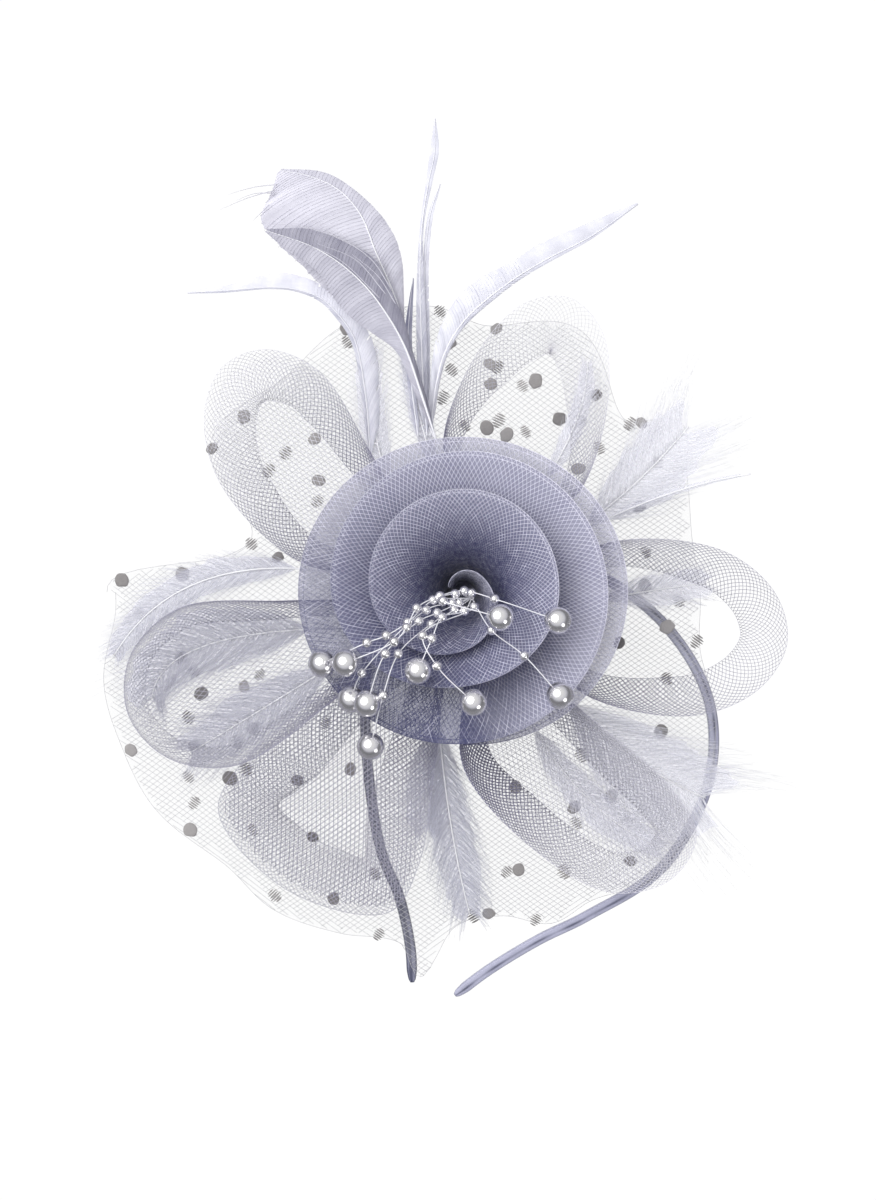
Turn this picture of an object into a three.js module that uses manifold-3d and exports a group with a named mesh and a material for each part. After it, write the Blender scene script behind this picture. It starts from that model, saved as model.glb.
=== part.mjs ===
// A fascinator lying flower side up: a rolled mesh rose with a spray of pearls, six ribbon loops,
// feathers and a spotted net on a felt pad, held on a thin bent headband.
// Millimetres, +Z up. The flower faces +Z, its long feathers point along +Y.
import * as THREE from 'three';
import Module from 'manifold-3d';

const wasm = await Module();
wasm.setup();

// Fit between pieces that touch
const clearance = 0.3;

// Headband, a flat-sided spring band bent into a nearly closed ring
const bandThickness = 3.2;
const bandHeight = 5;
const bandRadius = 53;
const bandCentre = { x: 23, y: -45 };
const bandRamp = 26;

// Felt strap round the band, and the felt pad that it holds
const strapWall = 1;
const strapStart = 99;
const strapEnd = 127;
const padRadius = 28;
const padWall = 2;

// Spotted net
const netWall = 1;
const netHole = 2.2;
const netReach = 117;
const ruffleDepth = 3.4;
const droopDepth = 3;

// Crin ribbon of the loops, standing on edge
const ribbonWidth = 28;
const ribbonWall = 1;
const ribbonGatheredWidth = 9;
const ribbonRootRadius = 14;
const ribbonFullRadius = 70;
const ribbonBow = 1.4;
const loopReach = 106;
const loopRise = 4.2;
const ribbonRiseStart = 18;
const ribbonRiseEnd = 42;

// Rolled mesh rose
const roseRadius = 49;
const roseHeight = 42;
const roseWall = 1;
const roseNeckRadius = 3.4;
const roseNeckStep = 1.5;
const roseFlare = 2.2;

// Spray of wires and pearls
const pearlRadius = 4.05;
const wireRadius = 0.42;
const stemRadius = 0.9;
const stemHeight = 30;
const stemLean = { x: 2.6, y: -1.8 };

// Feathers
const featherWall = 1;
const featherReach = 142;
const featherWidth = 26;
const quillWidth = 1.5;
const featherCamber = 0.03;
const featherSpacing = 1.5;
const featherRootLift = 0.5;

const colours = {
  satin: 0xa0a2be,
  felt: 0x8d8ea4,
  net: 0xdcdce2,
  crin: 0xc4c5d6,
  rose: 0x8a8bab,
  pearl: 0xc9c9cf,
  wire: 0xe8e8ee,
  plume: 0xd5d8e8,
  goose: 0xa9abc2,
};

// Heights that follow from the stack of strap, band, pad and net
const bandLift = strapWall + clearance;
const strapTop = bandLift + bandHeight + clearance + strapWall;
const padBase = strapTop + clearance;
const padTop = padBase + padWall;
const netMiddle = padTop + clearance + netWall / 2;
const netTop = netMiddle + netWall / 2;
const stackTop = netTop + clearance;
const loopFoot = stackTop + 0.2;

// Plan of the headband about its centre, from its right tip over the top to its left tip.
// reach is a share of bandRadius.
const bandPlan = [
  { angle: -108.3, reach: 1.526 },
  { angle: -102.2, reach: 1.332 },
  { angle: -90, reach: 1.132 },
  { angle: -74.6, reach: 1.034 },
  { angle: -46, reach: 1.005 },
  { angle: -13.6, reach: 0.995 },
  { angle: 14, reach: 0.995 },
  { angle: 44.9, reach: 0.977 },
  { angle: 77.2, reach: 1.028 },
  { angle: 99, reach: 1.13 },
  { angle: 127, reach: 1.17 },
  { angle: 151.5, reach: 1.092 },
  { angle: 171.9, reach: 1.0 },
  { angle: 199.3, reach: 1.011 },
  { angle: 216.1, reach: 1.104 },
  { angle: 228.1, reach: 1.192 },
  { angle: 238.1, reach: 1.387 },
  { angle: 242.3, reach: 1.553 },
];

// Cut edge of the net about the flower. reach is a share of netReach.
const netPlan = [
  { angle: -176, reach: 0.9 },
  { angle: -166, reach: 0.955 },
  { angle: -156, reach: 0.967 },
  { angle: -145, reach: 0.972 },
  { angle: -131, reach: 0.933 },
  { angle: -121, reach: 0.954 },
  { angle: -110, reach: 0.936 },
  { angle: -100, reach: 0.92 },
  { angle: -96.3, reach: 1 },
  { angle: -91.7, reach: 0.867 },
  { angle: -83, reach: 0.841 },
  { angle: -75, reach: 0.885 },
  { angle: -67, reach: 0.862 },
  { angle: -54, reach: 0.89 },
  { angle: -40, reach: 0.81 },
  { angle: -27, reach: 0.733 },
  { angle: -14, reach: 0.631 },
  { angle: 0, reach: 0.612 },
  { angle: 13.7, reach: 0.608 },
  { angle: 28, reach: 0.654 },
  { angle: 38, reach: 0.713 },
  { angle: 47, reach: 0.61 },
  { angle: 66, reach: 0.74 },
  { angle: 85, reach: 0.69 },
  { angle: 96, reach: 0.741 },
  { angle: 113, reach: 0.754 },
  { angle: 130, reach: 0.72 },
  { angle: 150, reach: 0.754 },
  { angle: 163, reach: 0.57 },
  { angle: 172, reach: 0.633 },
  { angle: 177.5, reach: 0.897 },
];

// Ribbon loops. azimuth and tipAzimuth point where a loop leaves the rose and where its tip is,
// spread is half its angle there, reach a share of loopReach. shoulder and crown are shares of
// the spread further out, sideLean and tipLean the ribbon's angle from upright.
const loopTable = [
  { name: 'loop_upper_left', azimuth: 148, tipAzimuth: 137, spread: 23, reach: 0.925,
    shoulder: 0.72, crown: 0.36, sideLean: 22, tipLean: 33 },
  { name: 'loop_upper_right', azimuth: 69, tipAzimuth: 70, spread: 28, reach: 0.878,
    shoulder: 0.55, crown: 0.27, sideLean: 15, tipLean: 37 },
  { name: 'loop_right', azimuth: -11, tipAzimuth: -9, spread: 29, reach: 0.92,
    shoulder: 0.64, crown: 0.31, sideLean: 17, tipLean: 30 },
  { name: 'loop_lower_right', azimuth: -67.5, tipAzimuth: -54, spread: 21.5, reach: 0.995,
    shoulder: 0.64, crown: 0.38, sideLean: 25, tipLean: 24 },
  { name: 'loop_lower_left', azimuth: -119, tipAzimuth: -120.5, spread: 21, reach: 0.972,
    shoulder: 0.96, crown: 0.78, sideLean: 48, tipLean: 52 },
  { name: 'loop_left', azimuth: -162, tipAzimuth: -160, spread: 17.5, reach: 1,
    shoulder: 0.92, crown: 0.5, sideLean: 14, tipLean: 11 },
];

// How far out the named stations of a loop lie, as shares of its reach
const loopStations = { gather: 0.27, leave: 0.5, shoulder: 0.8, crown: 0.95 };
const gatherSpread = 0.8;

// Share of a loop's length over which its lean swings round, so that the lower edge stays open
const crownEase = 0.07;

// Lip of the rolled sheet, turning clockwise from +Y. radius is a share of roseRadius,
// height a share of roseHeight above the neck's foot.
const roseLip = [
  { turn: 0, radius: 0.13, height: 0.72 },
  { turn: 0.25, radius: 0.178, height: 0.78 },
  { turn: 0.5, radius: 0.356, height: 0.86 },
  { turn: 0.75, radius: 0.564, height: 0.94 },
  { turn: 1, radius: 0.62, height: 1 },
  { turn: 1.25, radius: 0.577, height: 1 },
  { turn: 1.5, radius: 0.571, height: 0.96 },
  { turn: 1.75, radius: 0.8, height: 0.83 },
  { turn: 2, radius: 0.853, height: 0.81 },
  { turn: 2.25, radius: 0.877, height: 0.8 },
  { turn: 2.5, radius: 0.92, height: 0.75 },
  { turn: 2.75, radius: 1, height: 0.68 },
  { turn: 3, radius: 0.94, height: 0.65 },
  { turn: 3.25, radius: 1, height: 0.63 },
  { turn: 3.5, radius: 0.926, height: 0.62 },
];

// Pearls about the flower, each on a wire that arches through a pull point. Reaches are shares of
// roseRadius, heights of roseHeight above the rose's foot.
const pearlTable = [
  { place: [206.9, 0.96], height: 0.88, pull: [205, 0.42], arch: 1.33 },
  { place: [211.1, 0.83], height: 1.1, pull: [212, 0.4], arch: 1.4 },
  { place: [223.7, 0.94], height: 0.83, pull: [204, 0.45], arch: 1.33 },
  { place: [229.2, 0.89], height: 1.01, pull: [206.6, 0.5], arch: 1.38 },
  { place: [239, 1.09], height: 0.87, pull: [218, 0.5], arch: 1.33 },
  { place: [240, 0.55], height: 1.07, pull: [238, 0.25], arch: 1.33 },
  { place: [275.2, 0.67], height: 1.06, pull: [219, 0.55], arch: 1.33 },
  { place: [313, 0.855], height: 0.99, pull: [312, 0.36], arch: 1.22 },
  { place: [343.2, 0.595], height: 1.13, pull: [343, 0.3], arch: 1.25 },
  { place: [325.2, 0.268], height: 1.16, pull: [325, 0.12], arch: 1 },
];

// Feathers, each an arc through a root, a pull point and a tip about the flower. Reaches are
// shares of featherReach, width of featherWidth. bare is the share of its length that is quill,
// level its place in the stack on the net and lift its rise in millimetres at the tip.
const featherTable = [
  { name: 'goose_front', root: [101, 0.211], pull: [99.6, 0.72], tip: [119.1, 0.863],
    width: 0.72, bare: 0.3, level: 7, lift: 13 },
  { name: 'goose_back', root: [101, 0.211], pull: [99.1, 0.84], tip: [112.8, 0.957],
    width: 1, bare: 0.3, level: 6, lift: 7 },
  { name: 'hackle_upper_left', root: [101, 0.211], pull: [105, 0.736], tip: [132.6, 0.858],
    width: 0.19, bare: 0.45, level: 5, lift: 3 },
  { name: 'biot_upper_right', root: [101, 0.211], pull: [98.7, 0.656], tip: [65.7, 0.899],
    width: 0.3, bare: 0.3, level: 4, lift: 3 },
  { name: 'biot_top', root: [101, 0.211], pull: [101.3, 0.61], tip: [93.5, 1],
    width: 0.25, bare: 0.3, level: 3, lift: 2 },
  { name: 'biot_top_twin', root: [101, 0.211], pull: [100.6, 0.537], tip: [93.2, 0.867],
    width: 0.12, bare: 0.3, level: 2, lift: 1.4 },
  { name: 'biot_small', root: [101, 0.211], pull: [104.4, 0.51], tip: [99, 0.674],
    width: 0.2, bare: 0.4, level: 1, lift: 1 },
  { name: 'plume_top', root: [101, 0.211], pull: [105, 0.38], tip: [103.4, 0.521],
    width: 0.3, bare: 0.3, level: 0, lift: 0.6 },
  { name: 'plume_upper_left', root: [129.8, 0.218], pull: [120.1, 0.407], tip: [111.1, 0.551],
    width: 0.4, bare: 0.25, level: 0, lift: 1.2 },
  { name: 'plume_upper_right', root: [53, 0.211], pull: [52.8, 0.442], tip: [61.7, 0.557],
    width: 0.4, bare: 0.25, level: 0, lift: 1.2 },
  { name: 'spine_right_upper', root: [27, 0.208], pull: [28, 0.479], tip: [22.3, 0.658],
    width: 0.12, bare: 0.3, level: 1, lift: 3 },
  { name: 'plume_right_upper', root: [27, 0.208], pull: [29, 0.4], tip: [36.3, 0.594],
    width: 0.75, bare: 0.25, level: 0, lift: 1 },
  { name: 'spine_right', root: [-8, 0.211], pull: [0, 0.366], tip: [2.1, 0.516],
    width: 0.3, bare: 0.3, level: 0, lift: 1.2 },
  { name: 'plume_lower_right', root: [-47.7, 0.211], pull: [-47.3, 0.498], tip: [-40.3, 0.675],
    width: 0.75, bare: 0.25, level: 0, lift: 1.2 },
  { name: 'spine_lower_right', root: [-61.7, 0.208], pull: [-64.9, 0.498], tip: [-52.2, 0.69],
    width: 0.35, bare: 0.25, level: 0, lift: 1.2 },
  { name: 'plume_bottom', root: [-106, 0.204], pull: [-95.2, 0.467], tip: [-88.8, 0.683],
    width: 0.5, bare: 0.2, level: 1, lift: 1 },
  { name: 'plume_bottom_left', root: [-106, 0.204], pull: [-102.4, 0.359], tip: [-98.8, 0.513],
    width: 0.3, bare: 0.3, level: 0, lift: 0.6 },
  { name: 'plume_left_upper', root: [171.9, 0.208], pull: [169.2, 0.602], tip: [190.3, 0.751],
    width: 0.55, bare: 0.25, level: 0, lift: 1.2 },
  { name: 'plume_left', root: [201.5, 0.211], pull: [186.2, 0.651], tip: [198.9, 0.696],
    width: 0.55, bare: 0.25, level: 0, lift: 1.2 },
  { name: 'plume_left_lower', root: [208.3, 0.211], pull: [210.2, 0.448], tip: [210.5, 0.67],
    width: 0.5, bare: 0.25, level: 0, lift: 1.2 },
];

const radians = THREE.MathUtils.degToRad;
const mix = THREE.MathUtils.lerp;
const smooth = THREE.MathUtils.smoothstep;

function polar(angle, reach, z = 0) {
  const turn = radians(angle);
  return new THREE.Vector3(reach * Math.cos(turn), reach * Math.sin(turn), z);
}

// Smooth value of a table's column at a place between its rows
function readColumn(table, key, column, at) {
  let row = 0;
  while (row < table.length - 2 && table[row + 1][key] < at) {
    row += 1;
  }
  const low = table[row];
  const high = table[row + 1];
  const share = THREE.MathUtils.clamp((at - low[key]) / (high[key] - low[key]), 0, 1);
  const before = table[Math.max(row - 1, 0)];
  const after = table[Math.min(row + 2, table.length - 1)];
  const span = high[key] - low[key];
  const slopeLow = (high[column] - before[column]) / Math.max(high[key] - before[key], span);
  const slopeHigh = (after[column] - low[column]) / Math.max(after[key] - low[key], span);
  const square = share * share;
  const cube = square * share;
  return (2 * cube - 3 * square + 1) * low[column]
    + (cube - 2 * square + share) * span * slopeLow
    + (3 * square - 2 * cube) * high[column]
    + (cube - square) * span * slopeHigh;
}

// Geometry from points and faces, turned so that its faces point out
function closedGeometry(points, faces) {
  let volume = 0;
  for (const [a, b, c] of faces) {
    volume += points[a].dot(points[b].clone().cross(points[c]));
  }
  const corners = volume < 0 ? faces.map(([a, b, c]) => [a, c, b]) : faces;
  const geometry = new THREE.BufferGeometry();
  geometry.setFromPoints(points);
  geometry.setIndex(corners.flat());
  geometry.computeVertexNormals();
  return geometry;
}

function quad(faces, a, b, c, d) {
  faces.push([a, b, c], [a, c, d]);
}

// Sheet of even thickness about the middle surface at(u, v). ring closes it along u.
function sheetSolid({ along, across, wall, at, ring = false }) {
  const columns = ring ? along : along + 1;
  const rows = across + 1;
  const middle = [];
  for (let i = 0; i < columns; i += 1) {
    for (let j = 0; j < rows; j += 1) {
      middle.push(at(i / along, j / across));
    }
  }
  const index = (i, j) => ((i + columns) % columns) * rows + j;
  const points = [];
  for (const side of [0.5, -0.5]) {
    for (let i = 0; i < columns; i += 1) {
      for (let j = 0; j < rows; j += 1) {
        const ahead = middle[ring ? index(i + 1, j) : index(Math.min(i + 1, along), j)];
        const behind = middle[ring ? index(i - 1, j) : index(Math.max(i - 1, 0), j)];
        const outer = middle[index(i, Math.min(j + 1, across))];
        const inner = middle[index(i, Math.max(j - 1, 0))];
        const normal = ahead.clone().sub(behind).cross(outer.clone().sub(inner)).normalize();
        points.push(middle[index(i, j)].clone().addScaledVector(normal, side * wall));
      }
    }
  }
  const under = columns * rows;
  const faces = [];
  for (let i = 0; i < along; i += 1) {
    for (let j = 0; j < across; j += 1) {
      const a = index(i, j);
      const b = index(i + 1, j);
      const c = index(i + 1, j + 1);
      const d = index(i, j + 1);
      quad(faces, a, b, c, d);
      quad(faces, under + a, under + d, under + c, under + b);
    }
    const start = index(i, 0);
    const next = index(i + 1, 0);
    quad(faces, next, start, under + start, under + next);
    quad(faces, start + across, next + across, under + next + across, under + start + across);
  }
  if (!ring) {
    for (let j = 0; j < across; j += 1) {
      const first = index(0, j);
      const last = index(along, j);
      quad(faces, first, first + 1, under + first + 1, under + first);
      quad(faces, last + 1, last, under + last, under + last + 1);
    }
  }
  return closedGeometry(points, faces);
}

// Solid through a row of sections with the same number of corners, closed at both ends
function loftSolid(sections) {
  const corners = sections[0].length;
  const points = sections.flat();
  const faces = [];
  for (let i = 0; i < sections.length - 1; i += 1) {
    for (let j = 0; j < corners; j += 1) {
      const a = i * corners + j;
      const b = i * corners + ((j + 1) % corners);
      quad(faces, a, b, b + corners, a + corners);
    }
  }
  const last = (sections.length - 1) * corners;
  for (let j = 1; j < corners - 1; j += 1) {
    faces.push([0, j + 1, j], [last, last + j, last + j + 1]);
  }
  return closedGeometry(points, faces);
}

// Tube with a bore, through matching outer and inner sections
function boredSolid(outer, inner) {
  const corners = outer[0].length;
  const points = [...outer.flat(), ...inner.flat()];
  const bore = outer.length * corners;
  const faces = [];
  for (let j = 0; j < corners; j += 1) {
    const k = (j + 1) % corners;
    for (let i = 0; i < outer.length - 1; i += 1) {
      const row = i * corners;
      quad(faces, row + j, row + k, row + corners + k, row + corners + j);
      quad(faces, bore + row + j, bore + row + corners + j, bore + row + corners + k, bore + row + k);
    }
    const last = (outer.length - 1) * corners;
    quad(faces, j, bore + j, bore + k, k);
    quad(faces, last + j, last + k, bore + last + k, bore + last + j);
  }
  return closedGeometry(points, faces);
}

// Flat-bottomed section with clipped corners, square to a plan direction
function bandSection(point, direction, width, height, corner) {
  const side = new THREE.Vector3(direction.y, -direction.x, 0).normalize();
  const half = width / 2;
  const outline = [
    [-half + corner, 0], [half - corner, 0], [half, corner], [half, height - corner],
    [half - corner, height], [-half + corner, height], [-half, height - corner], [-half, corner],
  ];
  return outline.map(([across, up]) => point.clone()
    .addScaledVector(side, across)
    .add(new THREE.Vector3(0, 0, up)));
}

const bandCurve = new THREE.CatmullRomCurve3(bandPlan.map(({ angle, reach }) => (
  polar(angle, reach * bandRadius).add(new THREE.Vector3(bandCentre.x, bandCentre.y, 0)))));

function bandAngle(point) {
  const turn = THREE.MathUtils.radToDeg(
    Math.atan2(point.y - bandCentre.y, point.x - bandCentre.x));
  return turn < bandPlan[0].angle ? turn + 360 : turn;
}

// Where the strap's two ends fall along the band
function bandShareAt(angle) {
  const steps = 400;
  for (let i = 0; i <= steps; i += 1) {
    const share = i / steps;
    if (bandAngle(bandCurve.getPointAt(share)) >= angle && share > 0.05) {
      return share;
    }
  }
  return 1;
}

const strapFrom = bandShareAt(strapStart);
const strapTo = bandShareAt(strapEnd);

// The band lies on the surface, and rises into the strap
function bandHeightAt(share) {
  const length = bandCurve.getLength();
  const away = Math.max(strapFrom - share, share - strapTo, 0) * length;
  return bandLift * (1 - smooth(away, 2, 2 + bandRamp));
}

function makeHeadband() {
  const steps = 48;
  const sections = [];
  for (let i = 0; i <= steps; i += 1) {
    const share = i / steps;
    const point = bandCurve.getPointAt(share);
    point.z = bandHeightAt(share);
    const fromTip = Math.min(share, 1 - share) * bandCurve.getLength();
    const round = mix(0.45, 1, smooth(fromTip, 0, 4));
    sections.push(bandSection(point, bandCurve.getTangentAt(share), bandThickness * round,
      bandHeight, 0.9 * round));
  }
  return loftSolid(sections);
}

function makeStrap() {
  const steps = 4;
  const outer = [];
  const inner = [];
  const bore = bandThickness + 2 * clearance + 0.4;
  for (let i = 0; i <= steps; i += 1) {
    const share = mix(strapFrom, strapTo, i / steps);
    const point = bandCurve.getPointAt(share);
    const direction = bandCurve.getTangentAt(share);
    outer.push(bandSection(point, direction, bore + 2 * strapWall + 3, strapTop, 1));
    const floor = point.clone().setZ(strapWall);
    inner.push(bandSection(floor, direction, bore, bandHeight + 2 * clearance, 0.6));
  }
  return boredSolid(outer, inner);
}

function makePad() {
  const sides = 40;
  const geometry = new THREE.CylinderGeometry(padRadius, padRadius, padWall, sides);
  geometry.rotateX(Math.PI / 2);
  geometry.translate(0, 0, padBase + padWall / 2);
  return geometry;
}

// The cut edge's reach at an angle, read from the table as a closed line
const netRing = [
  { ...netPlan[netPlan.length - 1], angle: netPlan[netPlan.length - 1].angle - 360 },
  ...netPlan,
  { ...netPlan[0], angle: netPlan[0].angle + 360 },
];

function netEdge(angle) {
  return netReach * readColumn(netRing, 'angle', 'reach', angle);
}

function netHeight(angle, reach) {
  const turn = radians(angle);
  const wave = 0.5 + 0.32 * Math.sin(9 * turn) + 0.18 * Math.sin(14 * turn + 1);
  const free = smooth(reach, padRadius, 2.3 * padRadius);
  const outer = smooth(reach, 0.62 * netReach, netReach);
  const left = Math.max(0, -Math.cos(turn));
  return netMiddle - ruffleDepth * free * wave - droopDepth * outer * left;
}

function makeNet() {
  const rings = 6;
  const flat = 2;
  return sheetSolid({
    along: 66,
    across: rings,
    wall: netWall,
    ring: true,
    at: (u, v) => {
      const angle = 360 * u - 180;
      const ring = v * rings;
      const reach = ring <= flat
        ? mix(netHole, padRadius, ring / flat)
        : mix(padRadius, netEdge(angle), (ring - flat) / (rings - flat));
      return polar(angle, reach, netHeight(angle, reach));
    },
  });
}

// Top edge of a loop's ribbon in plan
function loopCurve(loop) {
  const reach = loop.reach * loopReach;
  const stations = [
    { at: ribbonRootRadius, turn: 0, spread: gatherSpread },
    { at: loopStations.gather * reach, turn: 0, spread: 0.5 * (1 + gatherSpread) },
    { at: loopStations.leave * reach, turn: 0.12, spread: 1 },
    { at: loopStations.shoulder * reach, turn: 0.75, spread: loop.shoulder },
    { at: loopStations.crown * reach, turn: 0.95, spread: loop.crown },
  ];
  const place = (station, side) => polar(
    mix(loop.azimuth, loop.tipAzimuth, station.turn) + side * station.spread * loop.spread,
    station.at);
  return new THREE.CatmullRomCurve3([
    ...stations.map((station) => place(station, 1)),
    polar(loop.tipAzimuth, reach),
    ...stations.map((station) => place(station, -1)).reverse(),
  ], false, 'centripetal');
}

function ribbonWidthAt(reach) {
  const share = THREE.MathUtils.clamp(
    (reach - ribbonRootRadius) / (ribbonFullRadius - ribbonRootRadius), 0, 1);
  return mix(ribbonGatheredWidth, ribbonWidth, share);
}

function makeLoop(loop) {
  const curve = loopCurve(loop);
  return sheetSolid({
    along: 28,
    across: 2,
    wall: ribbonWall,
    at: (u, v) => {
      const edge = curve.getPointAt(u);
      const before = curve.getPointAt(Math.max(u - crownEase, 0));
      const ahead = curve.getPointAt(Math.min(u + crownEase, 1));
      const inward = new THREE.Vector3(ahead.y - before.y, before.x - ahead.x, 0).normalize();
      const reach = edge.length();
      const width = ribbonWidthAt(reach);
      const lean = radians(mix(loop.sideLean, loop.tipLean, Math.sin(Math.PI * u) ** 4));
      const floor = loopFoot + loopRise * smooth(reach, ribbonRiseStart, ribbonRiseEnd);
      const drop = (1 - v) * width;
      return edge.clone()
        .addScaledVector(inward, drop * Math.sin(lean) - ribbonBow * Math.sin(Math.PI * v))
        .setZ(floor + v * width * Math.cos(lean));
    },
  });
}

// Rolled sheet that rises from a narrow neck and flares to its lip
function makeRose() {
  const turns = roseLip[roseLip.length - 1].turn;
  const foot = stackTop;
  return sheetSolid({
    along: 84,
    across: 5,
    wall: roseWall,
    at: (u, v) => {
      const turn = u * turns;
      const neck = roseNeckRadius + roseNeckStep * turn;
      const lip = roseRadius * readColumn(roseLip, 'turn', 'radius', turn);
      const top = roseHeight * readColumn(roseLip, 'turn', 'height', turn);
      return polar(90 - 360 * turn, mix(neck, lip, v ** roseFlare), foot + top * v);
    },
  });
}

function sprayPlace([angle, reach], height) {
  return polar(angle, reach * roseRadius, stackTop + height * roseHeight);
}

// Round wire of five sides along a curve
function wireSolid(curve, radius, steps) {
  const sections = [];
  const sides = 5;
  for (let i = 0; i <= steps; i += 1) {
    const point = curve.getPointAt(i / steps);
    const heading = curve.getTangentAt(i / steps);
    const side = new THREE.Vector3(-heading.y, heading.x, 0);
    if (side.length() < 1e-3) {
      side.set(1, 0, 0);
    }
    side.normalize();
    const up = heading.clone().cross(side);
    const section = [];
    for (let j = 0; j < sides; j += 1) {
      const turn = (2 * Math.PI * j) / sides;
      section.push(point.clone()
        .addScaledVector(side, radius * Math.cos(turn))
        .addScaledVector(up, radius * Math.sin(turn)));
    }
    sections.push(section);
  }
  return loftSolid(sections);
}

function toManifold(geometry) {
  return new wasm.Manifold(new wasm.Mesh({
    numProp: 3,
    vertProperties: new Float32Array(geometry.getAttribute('position').array),
    triVerts: new Uint32Array(geometry.getIndex().array),
  }));
}

function fromManifold(solid) {
  const mesh = solid.getMesh();
  const geometry = new THREE.BufferGeometry();
  geometry.setAttribute('position', new THREE.BufferAttribute(mesh.vertProperties, 3));
  geometry.setIndex(new THREE.BufferAttribute(mesh.triVerts, 1));
  geometry.computeVertexNormals();
  return geometry;
}

function makeSpray() {
  const base = new THREE.Vector3(0, 0, padTop + clearance);
  const top = new THREE.Vector3(stemLean.x, stemLean.y, base.z + stemHeight);
  const bend = new THREE.Vector3(0, 0, base.z + stemHeight / 2);
  let spray = toManifold(wireSolid(
    new THREE.QuadraticBezierCurve3(base, bend, top), stemRadius, 5));
  for (const pearl of pearlTable) {
    const centre = sprayPlace(pearl.place, pearl.height);
    const start = top.clone().setZ(top.z - 2);
    const pull = sprayPlace(pearl.pull, pearl.arch);
    const end = centre.clone().sub(pull).normalize()
      .multiplyScalar(-(pearlRadius + clearance)).add(centre);
    const wire = new THREE.QuadraticBezierCurve3(start, pull, end);
    spray = spray.add(toManifold(wireSolid(wire, wireRadius, 6)));
  }
  return fromManifold(spray);
}

function makePearl() {
  return new THREE.SphereGeometry(pearlRadius, 10, 7);
}

// Width of a feather's vane at a share of its length
function vaneWidth(feather, share) {
  const vane = THREE.MathUtils.clamp((share - feather.bare) / (1 - feather.bare), 0, 1);
  const swell = Math.sin(Math.PI * vane ** 0.75) ** 0.7;
  return mix(quillWidth, Math.max(feather.width * featherWidth, quillWidth), swell) - 0.7 * vane;
}

function makeFeather(feather) {
  const [root, pull, tip] = [feather.root, feather.pull, feather.tip]
    .map(([angle, reach]) => polar(angle, reach * featherReach));
  const curve = new THREE.QuadraticBezierCurve3(root, pull, tip);
  const broad = feather.width >= 0.7 && feather.level > 2;
  const foot = stackTop + featherRootLift + feather.level * featherSpacing;
  return sheetSolid({
    along: broad ? 14 : 8,
    across: 2,
    wall: featherWall,
    at: (u, v) => {
      const heading = curve.getTangentAt(u);
      const side = new THREE.Vector3(heading.y, -heading.x, 0).normalize();
      const width = vaneWidth(feather, u);
      const across = (v - 0.5) * width;
      const camber = featherCamber * (width - Math.abs(2 * across));
      return curve.getPointAt(u)
        .addScaledVector(side, across)
        .setZ(foot + feather.lift * u ** 1.6 + camber);
    },
  });
}

function finish(colour, roughness, metalness = 0) {
  return new THREE.MeshStandardMaterial({ color: colour, roughness, metalness });
}

const fascinator = new THREE.Group();

function addPiece(name, geometry, material) {
  const mesh = new THREE.Mesh(geometry, material);
  mesh.name = name;
  fascinator.add(mesh);
  return mesh;
}

addPiece('headband', makeHeadband(), finish(colours.satin, 0.4));
addPiece('band_strap', makeStrap(), finish(colours.felt, 0.95));
addPiece('base_pad', makePad(), finish(colours.felt, 0.95));
addPiece('spotted_net', makeNet(), finish(colours.net, 0.8));
addPiece('rose', makeRose(), finish(colours.rose, 0.55));
addPiece('spray_stems', makeSpray(), finish(colours.wire, 0.3));
for (const loop of loopTable) {
  addPiece(loop.name, makeLoop(loop), finish(colours.crin, 0.5));
}
for (const feather of featherTable) {
  const shade = feather.name.startsWith('goose') ? colours.goose : colours.plume;
  addPiece(feather.name, makeFeather(feather), finish(shade, 0.7));
}
pearlTable.forEach((pearl, index) => {
  const name = `pearl_${String(index + 1).padStart(2, '0')}`;
  const mesh = addPiece(name, makePearl(), finish(colours.pearl, 0.18, 0.3));
  mesh.position.copy(sprayPlace(pearl.place, pearl.height));
});

// The origin is the middle of the whole piece, on the surface that it lies on
const box = new THREE.Box3().setFromObject(fascinator);
const middle = box.getCenter(new THREE.Vector3());
fascinator.position.set(-middle.x, -middle.y, -box.min.z);

export default fascinator;
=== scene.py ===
"""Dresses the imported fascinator: woven ribbons, rose and net, feathers with barbs, pearls and a satin band.

Lengths are in millimetres about the flower's centre. mesh_piece turns them into metres of the frame.
"""

import math
import random

import bpy
import numpy as np
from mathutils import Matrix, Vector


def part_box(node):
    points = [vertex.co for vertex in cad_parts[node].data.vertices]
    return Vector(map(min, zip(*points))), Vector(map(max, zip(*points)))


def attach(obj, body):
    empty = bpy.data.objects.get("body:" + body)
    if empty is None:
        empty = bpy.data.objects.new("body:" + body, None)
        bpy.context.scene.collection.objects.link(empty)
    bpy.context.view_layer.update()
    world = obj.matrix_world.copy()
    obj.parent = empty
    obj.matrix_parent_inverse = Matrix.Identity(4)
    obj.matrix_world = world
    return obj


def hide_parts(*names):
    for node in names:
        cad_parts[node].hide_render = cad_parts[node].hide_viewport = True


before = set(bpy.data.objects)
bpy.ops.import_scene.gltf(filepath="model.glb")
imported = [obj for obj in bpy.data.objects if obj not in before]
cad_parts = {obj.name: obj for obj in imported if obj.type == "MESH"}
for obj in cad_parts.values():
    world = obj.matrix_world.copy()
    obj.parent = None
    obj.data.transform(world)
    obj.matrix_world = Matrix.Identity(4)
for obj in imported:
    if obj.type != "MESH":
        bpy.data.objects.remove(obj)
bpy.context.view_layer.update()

MM = 0.001
CURVE_STEPS = 60

# The photograph: its scale, its size and the pixel of the flower's centre
MM_PER_PIXEL = 0.3
PHOTO_WIDTH = 876
PHOTO_HEIGHT = 1200
FLOWER_PIXEL = (463, 592)

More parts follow.
